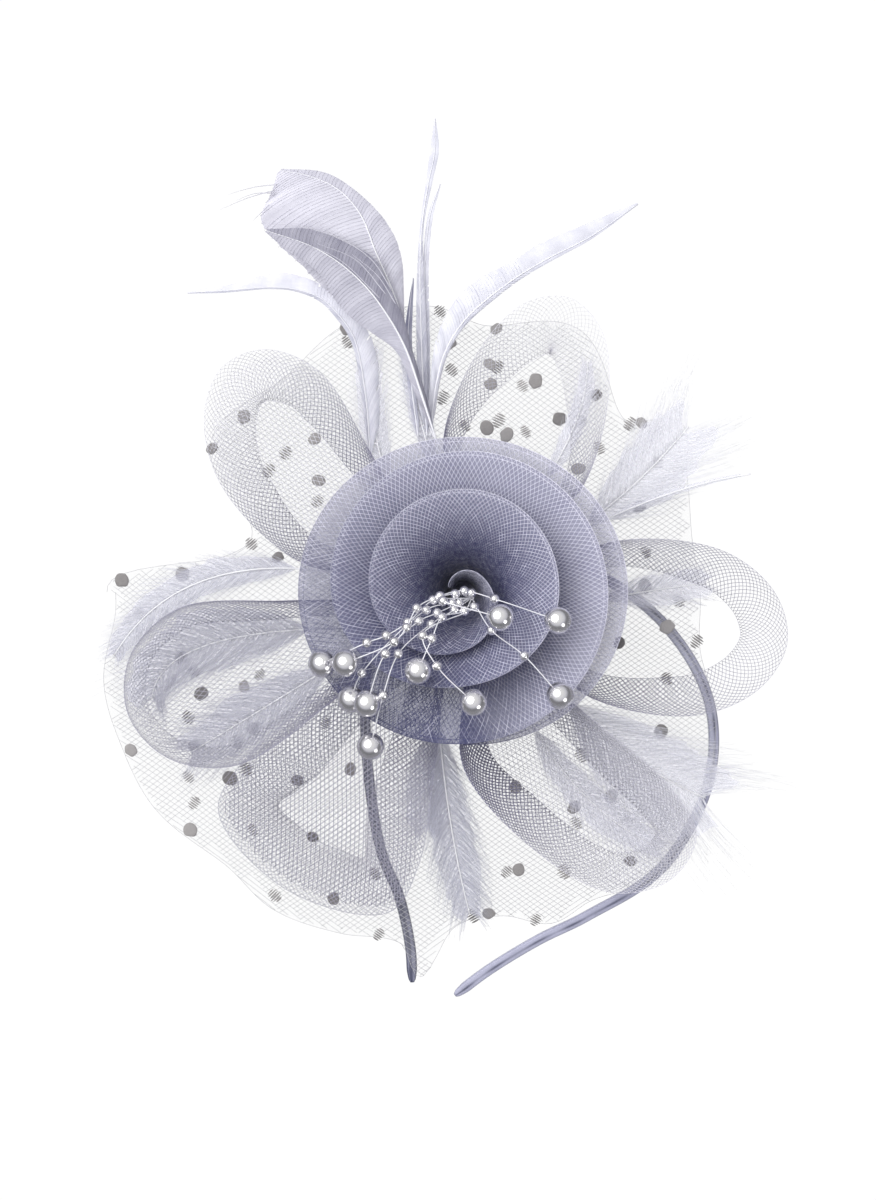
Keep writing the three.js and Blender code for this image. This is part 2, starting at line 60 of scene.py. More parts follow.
# Stack of the pieces, from the frame
pad_low, pad_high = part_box("base_pad")
FLOWER = np.array([(pad_low.x + pad_high.x) / 2, (pad_low.y + pad_high.y) / 2, 0.0]) / MM
PAD_BASE = pad_low.z / MM
PAD_TOP = pad_high.z / MM
CLEARANCE = 0.3
NET_WALL = 1.0
NET_MIDDLE = PAD_TOP + CLEARANCE + NET_WALL / 2
STACK_TOP = NET_MIDDLE + NET_WALL / 2 + CLEARANCE

# Headband
BAND_THICKNESS = 3.2
BAND_HEIGHT = 5.0
BAND_RADIUS = 53.0
BAND_CENTRE = (23.0, -45.0)
BAND_RAMP = 26.0
BAND_LIFT = 1.3
BAND_STEPS = 420
WINDING_PITCH = 9.0
DASH_PITCH = 13.0
BAND_CORNER = 0.8
CORNER_STEPS = 6
SEAM_PLACE = 0.3
SEAM_WIDTH = 0.42
SEAM_ABOVE = 3.5
LEFT_LEG = 0.74
STRAP_WALL = 1.0
STRAP_START = 99.0
STRAP_END = 127.0
STRAP_TOP = PAD_BASE - CLEARANCE
STRAP_SPREAD = 3.0
STRAP_CORNER = 1.2
STRAP_STEPS = 30
BORE_CORNER = 0.6
BORE_GAP = 0.4
PAD_RADIUS = 28.0
PAD_RIPPLE = 0.12
PAD_SIDES = 120

# Spotted net
NET_HOLE = 2.2
NET_REACH = 117.0
RUFFLE_DEPTH = 3.4
DROOP_DEPTH = 3.0
NET_CELL = 1.35
NET_THREAD = 0.07
NET_SHADE = 0.5
NET_SLANTS = (35, 145)
NET_STRANDS_START = 6.0
NET_STEP = 4.0
NET_SIDES = 288
NET_RINGS = 40
DOT_RADIUS = 2.35
DOT_SIDES = 36
DOT_SEED = 7

# Ribbon loops
RIBBON_WIDTH = 28.0
RIBBON_GATHERED = 9.0
RIBBON_ROOT = 14.0
RIBBON_FULL = 70.0
RIBBON_BOW = 1.4
LOOP_REACH = 106.0
LOOP_RISE = 4.2
RISE_START = 18.0
RISE_END = 42.0
LOOP_FOOT = STACK_TOP + 0.2
CRIN_PITCH = 1.9
CRIN_BIAS = 1.6
CRIN_STEPS = 13
LOOP_EDGE = 0.06
LOOP_STEPS = 120
LOOP_ROWS = 10
LINING_EDGE = 0.9
LINING_SLANT = 28
LINING_PITCH = 1.3
LINING_START = 40.0
LINING_SPAN = 70.0
LINING_REACH = 60.0
LINING_STEP = 2.0

# Rolled rose
ROSE_RADIUS = 49.0
ROSE_HEIGHT = 42.0
ROSE_NECK = 3.4
ROSE_NECK_STEP = 1.5
ROSE_FLARE = 2.2
ROSE_WIDTH = 48.0
ROSE_PITCH = 1.55
ROSE_THREAD = 0.125
ROSE_LIGHTER = 0.1
ROSE_GLINT = 0.6
ROSE_DULL_SHARE = 0.82
ROSE_SEED = 11
ROSE_STEPS = 420
ROSE_RINGS = 24
ROSE_THREAD_STEPS = 27
ROSE_EDGE_STEPS = 700

# Spray
PEARL_RADIUS = 4.05
SEED_RADIUS = 1.5
WIRE_RADIUS = 0.17
STEM_RADIUS = 0.75
STEM_HEIGHT = 30.0
STEM_LEAN = (2.6, -1.8)
STEM_TWIST = 9
WIRE_STEPS = 60
BEAD_HOLE = 0.098
BEAD_END = 0.93
BEAD_TILT = 82

# Feathers
FEATHER_REACH = 142.0
BARB_GAP = 0.55
HAIR_RADIUS = 0.06
WISP_LIFT = 1.5
WISP_STEPS = 24
WISP_RADII = (0.16, 0.04)
WISP_SHADE = 0.75
DOWN_GAP = 0.75
DOWN_RADIUS = 0.06
FEATHER_SPACING = 1.5
FEATHER_LIFT = 0.5
QUILL_CURVE = 1.6
BARB_BOW = 0.14
BARB_RISE = 0.16
VANE_SINK = 0.12
CLUMP = (6, 22)
DOWN_HAIRS = 5
DOWN_SLANT = (24, 44)
HAZE_SLANT = 36

# Materials and light
SPECKLE = 0.25
NOISE_ROUGHNESS = 0.6
SKY_TOP = (-0.12, 0.36, 0.925)
SKY_STRENGTH = 0.62
SKY_GREYS = ((0.48, 0.16), (0.6, 0.2), (0.72, 0.75))
LAMPS = (("key", (-0.5, 0.35, 1.0), 1.2, 12), ("fill", (0.9, -0.8, 0.7), 0.5, 3))
FLOOR_HALF = 3.0
CAMERA_DISTANCE = 2.4
FOCUS_HEIGHT = 0.02
SENSOR = 36


def table(columns, *rows):
    """Rows as dictionaries under the names of their columns."""
    names = columns.split()
    return [dict(zip(names, row)) for row in rows]


# Path of the band: degrees round its centre, reach in band radii
BAND_PLAN = [
    (-108.3, 1.526), (-102.2, 1.332), (-90, 1.132), (-74.6, 1.034), (-46, 1.005), (-13.6, 0.995),
    (14, 0.995), (44.9, 0.977), (77.2, 1.028), (99, 1.13), (127, 1.17), (151.5, 1.092), (171.9, 1.0),
    (199.3, 1.011), (216.1, 1.104), (228.1, 1.192), (238.1, 1.387), (242.3, 1.553),
]

# Cut edge of the net: degrees round the flower, reach in net reaches
NET_PLAN = [
    (-176, 0.9), (-166, 0.955), (-156, 0.967), (-145, 0.972), (-131, 0.933), (-121, 0.954), (-110, 0.936),
    (-100, 0.92), (-96.3, 1.0), (-91.7, 0.867), (-83, 0.841), (-75, 0.885), (-67, 0.862), (-54, 0.89),
    (-40, 0.81), (-27, 0.733), (-14, 0.631), (0, 0.612), (13.7, 0.608), (28, 0.654), (38, 0.713),
    (47, 0.61), (66, 0.74), (85, 0.69), (96, 0.741), (113, 0.754), (130, 0.72), (150, 0.754), (163, 0.57),
    (172, 0.633), (177.5, 0.897),
]

# Ribbon loops. tones and thread hold the strands' shade and radius on the first side, the crown and the
# second side, and lining the shade and radius of the inner layer's strands. tones hold painted light and
# shade: the steep sides of a loop painted darker and its crown lighter, one side lighter than the other,
# as the light falls on them.
LOOPS = table(
    "name azimuth tip spread reach shoulder crown side_lean tip_lean coarse ease tones thread lining",
    ("loop_upper_left", 148, 137, 23, 0.925, 0.72, 0.36, 22, 33, 1, 0.07,
     (-0.1, 0.95, 0.05), (0.12, 0.066, 0.12), (0.95, 0.085)),
    ("loop_upper_right", 69, 70, 28, 0.878, 0.55, 0.27, 15, 37, 1, 0.07,
     (-0.1, 1.3, 0.35), (0.12, 0.05, 0.12), None),
    ("loop_right", -11, -9, 29, 0.92, 0.64, 0.31, 21, 28, 1, 0.07,
     (0.6, 0.5, -0.3), (0.125, 0.08, 0.14), None),
    ("loop_lower_right", -69, -54, 22.5, 0.995, 0.64, 0.38, 25, 24, 0.88, 0.07,
     (0.75, 0.85, -0.45), (0.11, 0.085, 0.23), (0.75, 0.085)),
    ("loop_lower_left", -122, -120.5, 22.5, 0.972, 0.96, 0.78, 44, 36, 0.85, 0.11,
     (0.25, 0.15, 0.5), (0.115, 0.064, 0.115), (0.3, 0.12)),
    ("loop_left", -158.5, -160, 18.5, 1.0, 0.92, 0.5, 14, 11, 1, 0.07,
     (0.25, 0.3, 0.05), (0.105, 0.06, 0.105), (0.5, 0.085)),
)

# Rolled lip of the rose: turn, radius in rose radii, height in rose heights
ROSE_LIP = [
    (-0.2, 0.096, 0.69), (0, 0.13, 0.72), (0.25, 0.178, 0.78), (0.5, 0.356, 0.86), (0.75, 0.564, 0.94),
    (1, 0.62, 1), (1.25, 0.577, 1), (1.5, 0.571, 0.96), (1.75, 0.8, 0.83), (2, 0.853, 0.81),
    (2.25, 0.877, 0.8), (2.5, 0.92, 0.75), (2.75, 1, 0.68), (3, 0.94, 0.65), (3.25, 1, 0.63),
    (3.5, 0.926, 0.62),
]

# Large pearls and the pull of their wires: degrees and reach in rose radii, heights in rose heights
PEARLS = table(
    "place height pull arch",
    ((206.9, 0.96), 0.88, (205, 0.42), 1.33),
    ((211.1, 0.83), 1.1, (212, 0.4), 1.4),
    ((223.7, 0.94), 0.83, (204, 0.45), 1.33),
    ((229.2, 0.89), 1.01, (206.6, 0.5), 1.38),
    ((239, 1.09), 0.87, (218, 0.5), 1.33),
    ((240, 0.55), 1.07, (238, 0.25), 1.33),
    ((275.2, 0.67), 1.06, (219, 0.55), 1.33),
    ((313, 0.855), 0.99, (312, 0.36), 1.22),
    ((343.2, 0.595), 1.13, (343, 0.3), 1.25),
    ((325.2, 0.268), 1.16, (325, 0.12), 1.0),
)

# Small beads of each wire from the stem outwards, as pixels of the photograph
SEED_PIXELS = [
    [(455, 594), (433, 600), (408, 622), (387, 635), (368, 642)],
    [(464, 591), (440, 596), (417, 608), (407, 627), (395, 641)],
    [(452, 603), (426, 610), (363, 672)],
    [(459, 603), (437, 613), (419, 621), (386, 653)],
    [(454, 610), (431, 624), (399, 653), (384, 694)],
    [(464, 611), (442, 617), (432, 638)],
    [(474, 607), (423, 635), (437, 665)],
    [(491, 630), (523, 655)],
    [(471, 593), (494, 599)],
    [(443, 601)],
]

# Soft feathers. root, pull and tip are degrees and shares of the feathers' reach, bare the share of quill
# without down, and fluff how far the down reaches to either side.
FEATHERS = table(
    "name root pull tip bare level lift fluff tone",
    ("plume_top", (101, 0.211), (105, 0.38), (103.4, 0.521), 0.2, 0, 0.6, 4, 0.65),
    ("plume_upper_left", (129.8, 0.218), (120.1, 0.407), (111.1, 0.551), 0.2, 0, 1.2, 6, 0.9),
    ("plume_upper_right", (53, 0.211), (52.8, 0.442), (61.7, 0.557), 0.25, 0, 1.2, 4, 0.95),
    ("spine_right_upper", (27, 0.208), (28, 0.479), (22.3, 0.658), 0.3, 1, 3, 1, 0.95),
    ("plume_right_upper", (27, 0.208), (29, 0.4), (36.3, 0.594), 0.25, 0, 1, 15, 1.25),
    ("spine_right", (-8, 0.211), (0, 0.366), (2.1, 0.516), 0.3, 0, 1.2, 7, 1.0),
    ("plume_lower_right", (-47.7, 0.211), (-47.3, 0.498), (-40.3, 0.675), 0.25, 0, 1.2, 19, 1.05),
    ("spine_lower_right", (-61.7, 0.208), (-64.9, 0.498), (-52.2, 0.69), 0.25, 0, 1.2, 7, 0.85),
    ("plume_bottom", (-106, 0.204), (-95.2, 0.467), (-88.8, 0.683), 0.2, 1, 1, 9, 0.45),
    ("plume_bottom_left", (-106, 0.204), (-102.4, 0.359), (-98.8, 0.513), 0.3, 0, 0.6, 8, 0.95),
    ("plume_left_upper", (171.9, 0.208), (169.2, 0.602), (190.3, 0.751), 0.25, 0, 1.2, 7, 0.65),
    ("plume_left", (201.5, 0.211), (186.2, 0.651), (198.9, 0.696), 0.25, 0, 1.2, 13, 0.55),
    ("plume_left_lower", (208.3, 0.211), (210.2, 0.448), (210.5, 0.67), 0.25, 0, 1.2, 11, 0.55),
)

# Quill and both edges of each top feather as pixels of the photograph, with heights in mm at root and tip.
# tones are the two vanes' shades at root and tip, goose_front's dark right vane being its underside with
# painted shade where it turns from the light, and drift and short say how much the barbs part at the edge.
VANES = table(
    "name heights tones drift short quill left right wisps",
    ("goose_back", (21.0, 28.0), ((0.75, 0.88), (0.68, 0.7)), 0.003, 0.985,
     [(434, 437), (413, 369), (403, 325), (394, 295), (376, 253), (361, 216), (339, 191), (309, 177),
      (281, 172)],
     [(433, 436), (411, 372), (398, 330), (372, 318), (342, 304), (318, 284), (296, 262), (272, 240),
      (260, 220), (271, 195), (278, 174)],
     [(435, 436), (414, 366), (405, 325), (404, 295), (402, 259), (391, 229), (364, 198), (327, 174),
      (282, 170)],
     [[(278, 186), (254, 189), (229, 196)], [(275, 192), (250, 199), (221, 211)],
      [(276, 195), (256, 195), (237, 202)], [(270, 206), (262, 214), (254, 222)]]),
    ("goose_front", (22.5, 35.0), ((0.62, 0.6), (0.12, 0.34)), 0.004, 0.98,
     [(436, 440), (420, 390), (406, 350), (390, 320), (368, 290), (342, 266), (312, 248), (268, 233)],
     [(434, 440), (414, 392), (396, 352), (372, 334), (350, 318), (334, 300), (321, 277), (302, 261),
      (284, 249), (266, 234)],
     [(438, 438), (424, 388), (411, 345), (405, 322), (398, 305), (390, 288), (374, 259), (347, 244),
      (313, 231), (268, 231)],
     [[(392, 292), (372, 262), (340, 241), (300, 229), (262, 226)],
      [(386, 296), (356, 262), (318, 246)], [(396, 306), (378, 278), (352, 256)],
      [(380, 300), (340, 262), (290, 240)]]),
    ("hackle_upper_left", (12.6, 22.5), ((0.65, 0.5), (0.7, 0.85)), 0.005, 0.92,
     [(370, 460), (366, 400), (354, 338), (339, 315), (321, 298), (296, 289), (272, 287), (223, 291),
      (188, 293)],
     [(367, 460), (362, 402), (351, 342), (336, 318), (319, 301), (294, 291), (270, 289), (223, 293),
      (188, 294)],
     [(376, 460), (380, 400), (373, 340), (352, 308), (326, 286), (299, 275), (278, 272), (236, 283),
      (188, 292)],
     []),
    ("biot_upper_right", (18.0, 21.0), ((0.78, 0.7), (0.68, 0.58)), 0.005, 0.93,
     [(430, 437), (437, 380), (446, 350), (463, 322), (486, 300), (517, 277), (547, 259), (590, 237),
      (638, 204)],
     [(428, 437), (430, 380), (437, 335), (455, 300), (480, 277), (510, 262), (540, 243), (575, 228),
      (604, 216), (637, 203)],
     [(433, 437), (440, 382), (449, 352), (466, 325), (489, 304), (520, 280), (550, 262), (592, 239),
      (638, 205)],
     []),
    ("biot_top", (16.5, 18.5), ((0.55, 0.7), (0.5, 0.65)), 0.004, 0.93,
     [(427, 437), (424, 400), (421, 330), (420, 270), (422, 225), (429, 180), (435, 150), (435, 118)],
     [(421, 437), (418, 400), (416, 330), (417, 270), (420, 225), (426, 180), (430, 150), (434, 119)],
     [(434, 437), (429, 400), (427, 330), (424, 270), (424, 225), (433, 180), (439, 150), (436, 118)],
     []),
    ("biot_top_twin", (15.0, 16.5), ((0.6, 0.75), (0.55, 0.7)), 0.006, 0.9,
     [(428, 437), (425, 330), (425, 262), (430, 215), (440, 183)],
     [(426, 437), (423, 330), (423, 262), (428, 214), (440, 183)],
     [(431, 437), (430, 330), (429, 264), (433, 217), (441, 184)],
     []),
    ("biot_small", (13.6, 14.6), ((0.5, 0.05), (0.55, 0.15)), 0.003, 0.95,
     [(418, 437), (411, 380), (408, 340), (410, 305), (413, 277)],
     [(415, 437), (407, 380), (404, 340), (408, 305), (413, 277)],
     [(421, 437), (415, 380), (412, 340), (413, 305), (414, 278)],
     []),
)

# Middles of the net's flocked dots, as pixels of the photograph
DOT_PIXELS = [
    (345, 328), (347, 341), (243, 416), (285, 452), (314, 438), (268, 470), (318, 480), (317, 501),
    (208, 446), (222, 537), (277, 557), (440, 310), (497, 325), (452, 369), (449, 342), (443, 397),
    (490, 363), (498, 366), (491, 383), (523, 385), (536, 380), (465, 425), (487, 427), (499, 420),
    (507, 434), (526, 431), (560, 418), (582, 421), (597, 394), (600, 447), (579, 468), (640, 414),
    (654, 411), (658, 462), (640, 506), (647, 552), (646, 586), (680, 600), (668, 627), (699, 642),
    (620, 643), (668, 679), (662, 732), (582, 756), (612, 797), (629, 822), (575, 808), (577, 824),
    (516, 788), (507, 873), (519, 871), (565, 873), (631, 862), (473, 920), (489, 917), (537, 926),
    (120, 580), (137, 614), (181, 574), (117, 651), (129, 751), (187, 778), (229, 779), (245, 769),
    (297, 781), (193, 804), (189, 831), (252, 831), (312, 838), (274, 897), (333, 900), (378, 938),
    (350, 770), (375, 875), (180, 658), (193, 672), (200, 694), (187, 718), (243, 687), (259, 675),
    (193, 746), (236, 743), (252, 729), (325, 724),
]


# Small maths

def polar(angle, reach, z=0.0):
    turn = np.radians(angle)
    return np.stack(np.broadcast_arrays(reach * np.cos(turn), reach * np.sin(turn), z), axis=-1)


def at_pixel(px, py):
    """Millimetres from the flower's centre of a pixel of the photograph."""
    return (px - FLOWER_PIXEL[0]) * MM_PER_PIXEL, (FLOWER_PIXEL[1] - py) * MM_PER_PIXEL


def smooth_step(x, low, high):
    t = np.clip((np.asarray(x, float) - low) / (high - low), 0, 1)
    return t * t * (3 - 2 * t)


def mix(low, high, share):
    return low + (high - low) * share


def unit(vectors):
    return vectors / np.maximum(np.linalg.norm(vectors, axis=-1, keepdims=True), 1e-9)


def sideways(heading):
    """Unit plan vectors square to a heading."""
    return unit(np.stack([heading[..., 1], -heading[..., 0], np.zeros_like(heading[..., 0])], axis=-1))


def polar_of(spots):
    """Angle in degrees and reach of plan points."""
    return np.degrees(np.arctan2(spots[:, 1], spots[:, 0])), np.hypot(spots[:, 0], spots[:, 1])


def read_column(table, column, at):
    """The smooth reading of a table by its first column that the model's source uses."""
    keys, values = np.array(table, float)[:, [0, column]].T
    at = np.asarray(at, float)
    row = np.clip(np.searchsorted(keys, at, side="left") - 1, 0, len(keys) - 2)
    before = np.maximum(row - 1, 0)
    after = np.minimum(row + 2, len(keys) - 1)
    span = keys[row + 1] - keys[row]
    t = np.clip((at - keys[row]) / span, 0, 1)
    slope_low = (values[row + 1] - values[before]) / np.maximum(keys[row + 1] - keys[before], span)
    slope_high = (values[after] - values[row]) / np.maximum(keys[after] - keys[row], span)
    square = t * t
    cube = square * t
    return ((2 * cube - 3 * square + 1) * values[row] + (cube - 2 * square + t) * span * slope_low
            + (3 * square - 2 * cube) * values[row + 1] + (cube - square) * span * slope_high)


class Path:
    """A dense line that is read by share of its length."""

    def __init__(self, points):
        self.points = np.asarray(points, float)
        steps = np.linalg.norm(np.diff(self.points, axis=0), axis=1)
        self.length = steps.sum()
        self.shares = np.concatenate([[0], np.cumsum(steps)]) / self.length

    def at(self, share):
        return np.stack([np.interp(share, self.shares, self.points[:, k]) for k in range(3)], axis=-1)

    def heading(self, share):
        step = 0.004
        return unit(self.at(np.clip(share + step, 0, 1)) - self.at(np.clip(share - step, 0, 1)))


def catmull_rom(points):
    """A centripetal curve through points."""
    points = np.asarray(points, float)
    ends = [2 * points[0] - points[1], *points, 2 * points[-1] - points[-2]]
    line = []
    for k in range(len(points) - 1):
        p0, p1, p2, p3 = ends[k:k + 4]
        d0, d1, d2 = (max(np.linalg.norm(b - a) ** 0.5, 1e-4) for a, b in ((p0, p1), (p1, p2), (p2, p3)))
        t1 = ((p1 - p0) / d0 - (p2 - p0) / (d0 + d1) + (p2 - p1) / d1) * d1
        t2 = ((p2 - p1) / d1 - (p3 - p1) / (d1 + d2) + (p3 - p2) / d2) * d1
        t = np.linspace(0, 1, CURVE_STEPS, endpoint=k == len(points) - 2)[:, None]
        line.append(p1 + t1 * t + (-3 * p1 + 3 * p2 - 2 * t1 - t2) * t**2
                    + (2 * p1 - 2 * p2 + t1 + t2) * t**3)
    return Path(np.concatenate(line))


def bezier(a, b, c):
    t = np.linspace(0, 1, 2 * CURVE_STEPS)[:, None]
    return Path((1 - t) ** 2 * a + 2 * t * (1 - t) * b + t**2 * c)


# Making meshes

def add_object(name, data):
    thing = bpy.data.objects.new(name, data)
    bpy.context.scene.collection.objects.link(thing)
    return thing


def mesh_piece(name, points, faces, material, attributes=None):
    """A riding piece from points about the flower in millimetres."""
    mesh = bpy.data.meshes.new(name)
    mesh.from_pydata(((np.asarray(points) + FLOWER) * MM).tolist(), [], [list(map(int, f)) for f in faces])
    mesh.update()
    for key, values in (attributes or {}).items():
        layer = mesh.attributes.new(key, "FLOAT", "POINT")
        layer.data.foreach_set("value", np.asarray(values, np.float32))
    mesh.polygons.foreach_set("use_smooth", [True] * len(mesh.polygons))
    mesh.materials.append(material)
    piece = add_object(name, mesh)
    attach(piece, "root")
    return piece


def grid_faces(rows, columns, ring=False):
    i, j = np.meshgrid(np.arange(rows if ring else rows - 1), np.arange(columns - 1), indexing="ij")
    ahead = (i + 1) % rows
    return np.stack([i * columns + j, ahead * columns + j, ahead * columns + j + 1, i * columns + j + 1],
                    axis=-1).reshape(-1, 4)


def tube_faces(rings, sides):
    """Faces round a tube with as many points in each ring, and its two end faces last."""
    i, j = np.meshgrid(np.arange(rings - 1), np.arange(sides), indexing="ij")
    k = (j + 1) % sides
    faces = np.stack([i * sides + j, i * sides + k, (i + 1) * sides + k, (i + 1) * sides + j], axis=-1)
    ends = [list(range(sides))[::-1], list(range((rings - 1) * sides, rings * sides))]
    return faces.reshape(-1, 4).tolist() + ends


class Bundle:
    """Collects tubes and other shapes, one mesh in the end."""

    def __init__(self):
        self.points = []
        self.faces = []
        self.values = []
        self.count = 0

    def tube(self, line, radius, sides, value):
        """line is (n, 3). radius and value are one number or one for each point."""
        line = np.asarray(line, float)
        n = len(line)
        heading = unit(np.gradient(line, axis=0))
        helper = np.where(np.abs(heading[:, 2:3]) > 0.9, [[1.0, 0, 0]], [[0, 0, 1.0]])
        side = unit(np.cross(heading, helper))
        up = np.cross(side, heading)
        turn = np.arange(sides) * 2 * math.pi / sides + math.pi / 2
        radius = np.broadcast_to(radius, (n,))[:, None, None]
        ring = (line[:, None] + radius * (side[:, None] * np.cos(turn)[None, :, None]
                                          + up[:, None] * np.sin(turn)[None, :, None]))
        values = np.repeat(np.broadcast_to(value, (n,)), sides)
        self.shape(ring.reshape(-1, 3), tube_faces(n, sides), values)

    def shape(self, points, faces, value):
        self.points.append(np.asarray(points, float))
        self.faces.extend([[int(v) + self.count for v in f] for f in faces])
        self.values.append(np.broadcast_to(value, (len(points),)))
        self.count += len(points)

    def piece(self, name, material):
        return mesh_piece(name, np.concatenate(self.points), self.faces, material,
                          {"shade": np.concatenate(self.values)})


# Materials

def set_inputs(tree, node, values):
    """Sets a node's inputs, each to a value or to another node's output."""
    for key, value in values.items():
        if isinstance(value, bpy.types.NodeSocket):
            tree.links.new(value, node.inputs[key])
        else:
            node.inputs[key].default_value = value


def add_node(tree, kind, values):
    node = tree.nodes.new("ShaderNode" + kind)
    set_inputs(tree, node, values)
    return node


def new_material(name, inputs):
    material = bpy.data.materials.new(name)
    material.use_nodes = True
    tree = material.node_tree
    shader = tree.nodes["Principled BSDF"]
    set_inputs(tree, shader, inputs)
    return material, tree, shader


def ramp(tree, factor, low, high):
    node = add_node(tree, "ValToRGB", {"Fac": factor})
    node.color_ramp.elements[0].color = (*low, 1)
    node.color_ramp.elements[1].color = (*high, 1)
    return node.outputs["Color"]


def noise(tree, scale, detail):
    place = add_node(tree, "TexCoord", {}).outputs["Object"]
    return add_node(tree, "TexNoise", {"Scale": scale, "Detail": detail, "Roughness": NOISE_ROUGHNESS,
                                       "Vector": place}).outputs["Fac"]


def calculate(tree, operation, *values):
    node = tree.nodes.new("ShaderNodeMath")
    node.operation = operation
    set_inputs(tree, node, dict(enumerate(values)))
    return node.outputs[0]


def read_attribute(tree, name):
    node = tree.nodes.new("ShaderNodeAttribute")
    node.attribute_name = name
    return node.outputs["Fac"]


def make_material(name, low, high, scale, inputs, speckle=None, detail=3.0, grain=None):
    """Shaded by the piece's shade attribute where speckle is given, and by noise alone where it isn't.

    grain is the scale, detail, strength and depth of a fine bump.
    """
    material, tree, shader = new_material(name, inputs)
    factor = noise(tree, scale, detail)
    if speckle is not None:
        factor = calculate(tree, "MULTIPLY_ADD", factor, speckle, read_attribute(tree, "shade"))
        factor = calculate(tree, "SUBTRACT", factor, speckle / 2)
    tree.links.new(ramp(tree, factor, low, high), shader.inputs["Base Color"])
    if grain is not None:
        grain_scale, grain_detail, strength, depth = grain
        bump = add_node(tree, "Bump", {"Strength": strength, "Distance": depth,
                                       "Height": noise(tree, grain_scale, grain_detail)})
        tree.links.new(bump.outputs["Normal"], shader.inputs["Normal"])
    return material


def film_material(name, colour, alpha):
    darker = tuple(0.9 * c for c in colour)
    return make_material(name, darker, colour, 90, {"Roughness": 0.6, "Alpha": alpha})


def thread_material(name, low, high, roughness=0.45, speckle=SPECKLE, scale=400, alpha=1.0):
    inputs = {"Roughness": roughness, "Sheen Weight": 0.3, "Alpha": alpha}
    return make_material(name, low, high, scale, inputs, speckle)


def cover_by_attribute(material):
    """Lets the piece's cover attribute say how solid the material is."""
    tree = material.node_tree
    tree.links.new(read_attribute(tree, "cover"), tree.nodes["Principled BSDF"].inputs["Alpha"])


SATIN = make_material("satin", (0.06, 0.065, 0.12), (0.44, 0.445, 0.58), 260,
                      {"Roughness": 0.34, "Sheen Weight": 0.4, "Anisotropic": 0.5},
                      speckle=SPECKLE, grain=(2200, 2, 0.25, 0.0002))
FELT = make_material("felt", (0.2, 0.2, 0.29), (0.32, 0.32, 0.43), 900,
                     {"Roughness": 0.95, "Sheen Weight": 0.5}, detail=6, grain=(1400, 6, 0.6, 0.0004))
FLOCK = make_material("flock", (0.15, 0.14, 0.138), (0.5, 0.48, 0.475), 1500,
                      {"Roughness": 1, "Sheen Weight": 0.4}, speckle=SPECKLE, grain=(2600, 5, 0.8, 0.0004))
PEARL = make_material("pearl", (0.9, 0.89, 0.91), (0.98, 0.97, 0.98), 160,
                      {"Metallic": 0.9, "Roughness": 0.2, "Coat Weight": 0.7, "Coat Roughness": 0.16},
                      detail=2)
NET_FILM = film_material("net_film", (0.62, 0.62, 0.64), 0.12)
NET_STRAND = thread_material("net_strand", (0.38, 0.38, 0.4), (0.62, 0.62, 0.65))
CRIN_FILM = film_material("crin_film", (0.6, 0.6, 0.74), 0.02)
CRIN_STRAND = thread_material("crin_strand", (0.18, 0.17, 0.29), (0.9, 0.89, 0.96), 0.3)
ROSE_FILM = thread_material("rose_film", (0.03, 0.036, 0.14), (0.31, 0.31, 0.43), 0.5)
cover_by_attribute(ROSE_FILM)
# The rose's threads take a strong, fine speckle: random tone and painted glints.
ROSE_STRAND = thread_material("rose_strand", (0.03, 0.035, 0.14), (0.88, 0.87, 0.99), 0.25, 1.1, 800)
WIRE = thread_material("wire", (0.8, 0.8, 0.86), (0.95, 0.95, 0.98), 0.3)
PLUME = thread_material("plume", (0.22, 0.225, 0.35), (0.95, 0.95, 1.0), 0.7)
DOWN = thread_material("down", (0.33, 0.33, 0.5), (0.82, 0.83, 0.97), 0.9, alpha=0.34)
GOOSE = thread_material("goose", (0.18, 0.175, 0.25), (0.76, 0.75, 0.83), 0.6)
QUILL = thread_material("quill", (0.86, 0.86, 0.92), (0.98, 0.98, 1.0), 0.35)


# Headband, strap and pad

band_path = catmull_rom([polar(angle, reach * BAND_RADIUS) + [*BAND_CENTRE, 0]
                         for angle, reach in BAND_PLAN])


def band_share(angle):
    shares = np.linspace(0.05, 1, 800)
    spots = band_path.at(shares)
    turn = polar_of(spots[:, :2] - BAND_CENTRE)[0]
    turn = np.where(turn < BAND_PLAN[0][0], turn + 360, turn)
    return shares[np.argmax(turn >= angle)]


STRAP_FROM = band_share(STRAP_START)
STRAP_TO = band_share(STRAP_END)


def band_lift(share):
    away = np.maximum(np.maximum(STRAP_FROM - share, share - STRAP_TO), 0) * band_path.length
    return BAND_LIFT * (1 - smooth_step(away, 2, 2 + BAND_RAMP))


def rounded_section(width, height, corner, across=1):
    """A flat-bottomed outline with round corners, anticlockwise from its lower right."""
    half = width / 2
    corners = [(half - corner, corner, -90), (half - corner, height - corner, 0),
               (-half + corner, height - corner, 90), (-half + corner, corner, 180)]
    outline = []
    for index, (x, y, start) in enumerate(corners):
        for k in range(CORNER_STEPS + 1):
            turn = math.radians(start + 90 * k / CORNER_STEPS)
            outline.append((x + corner * math.cos(turn), y + corner * math.sin(turn)))
        if index == 1:
            end = -half + corner
            outline.extend((mix(x, end, k / across), height) for k in range(1, across))
    return np.array(outline)


def swept(shares, across, up):
    """Points of a section that is carried along the band."""
    side = sideways(band_path.heading(shares))[:, None]
    return band_path.at(shares)[:, None] + side * across[..., None] + [0, 0, 1] * up[..., None]


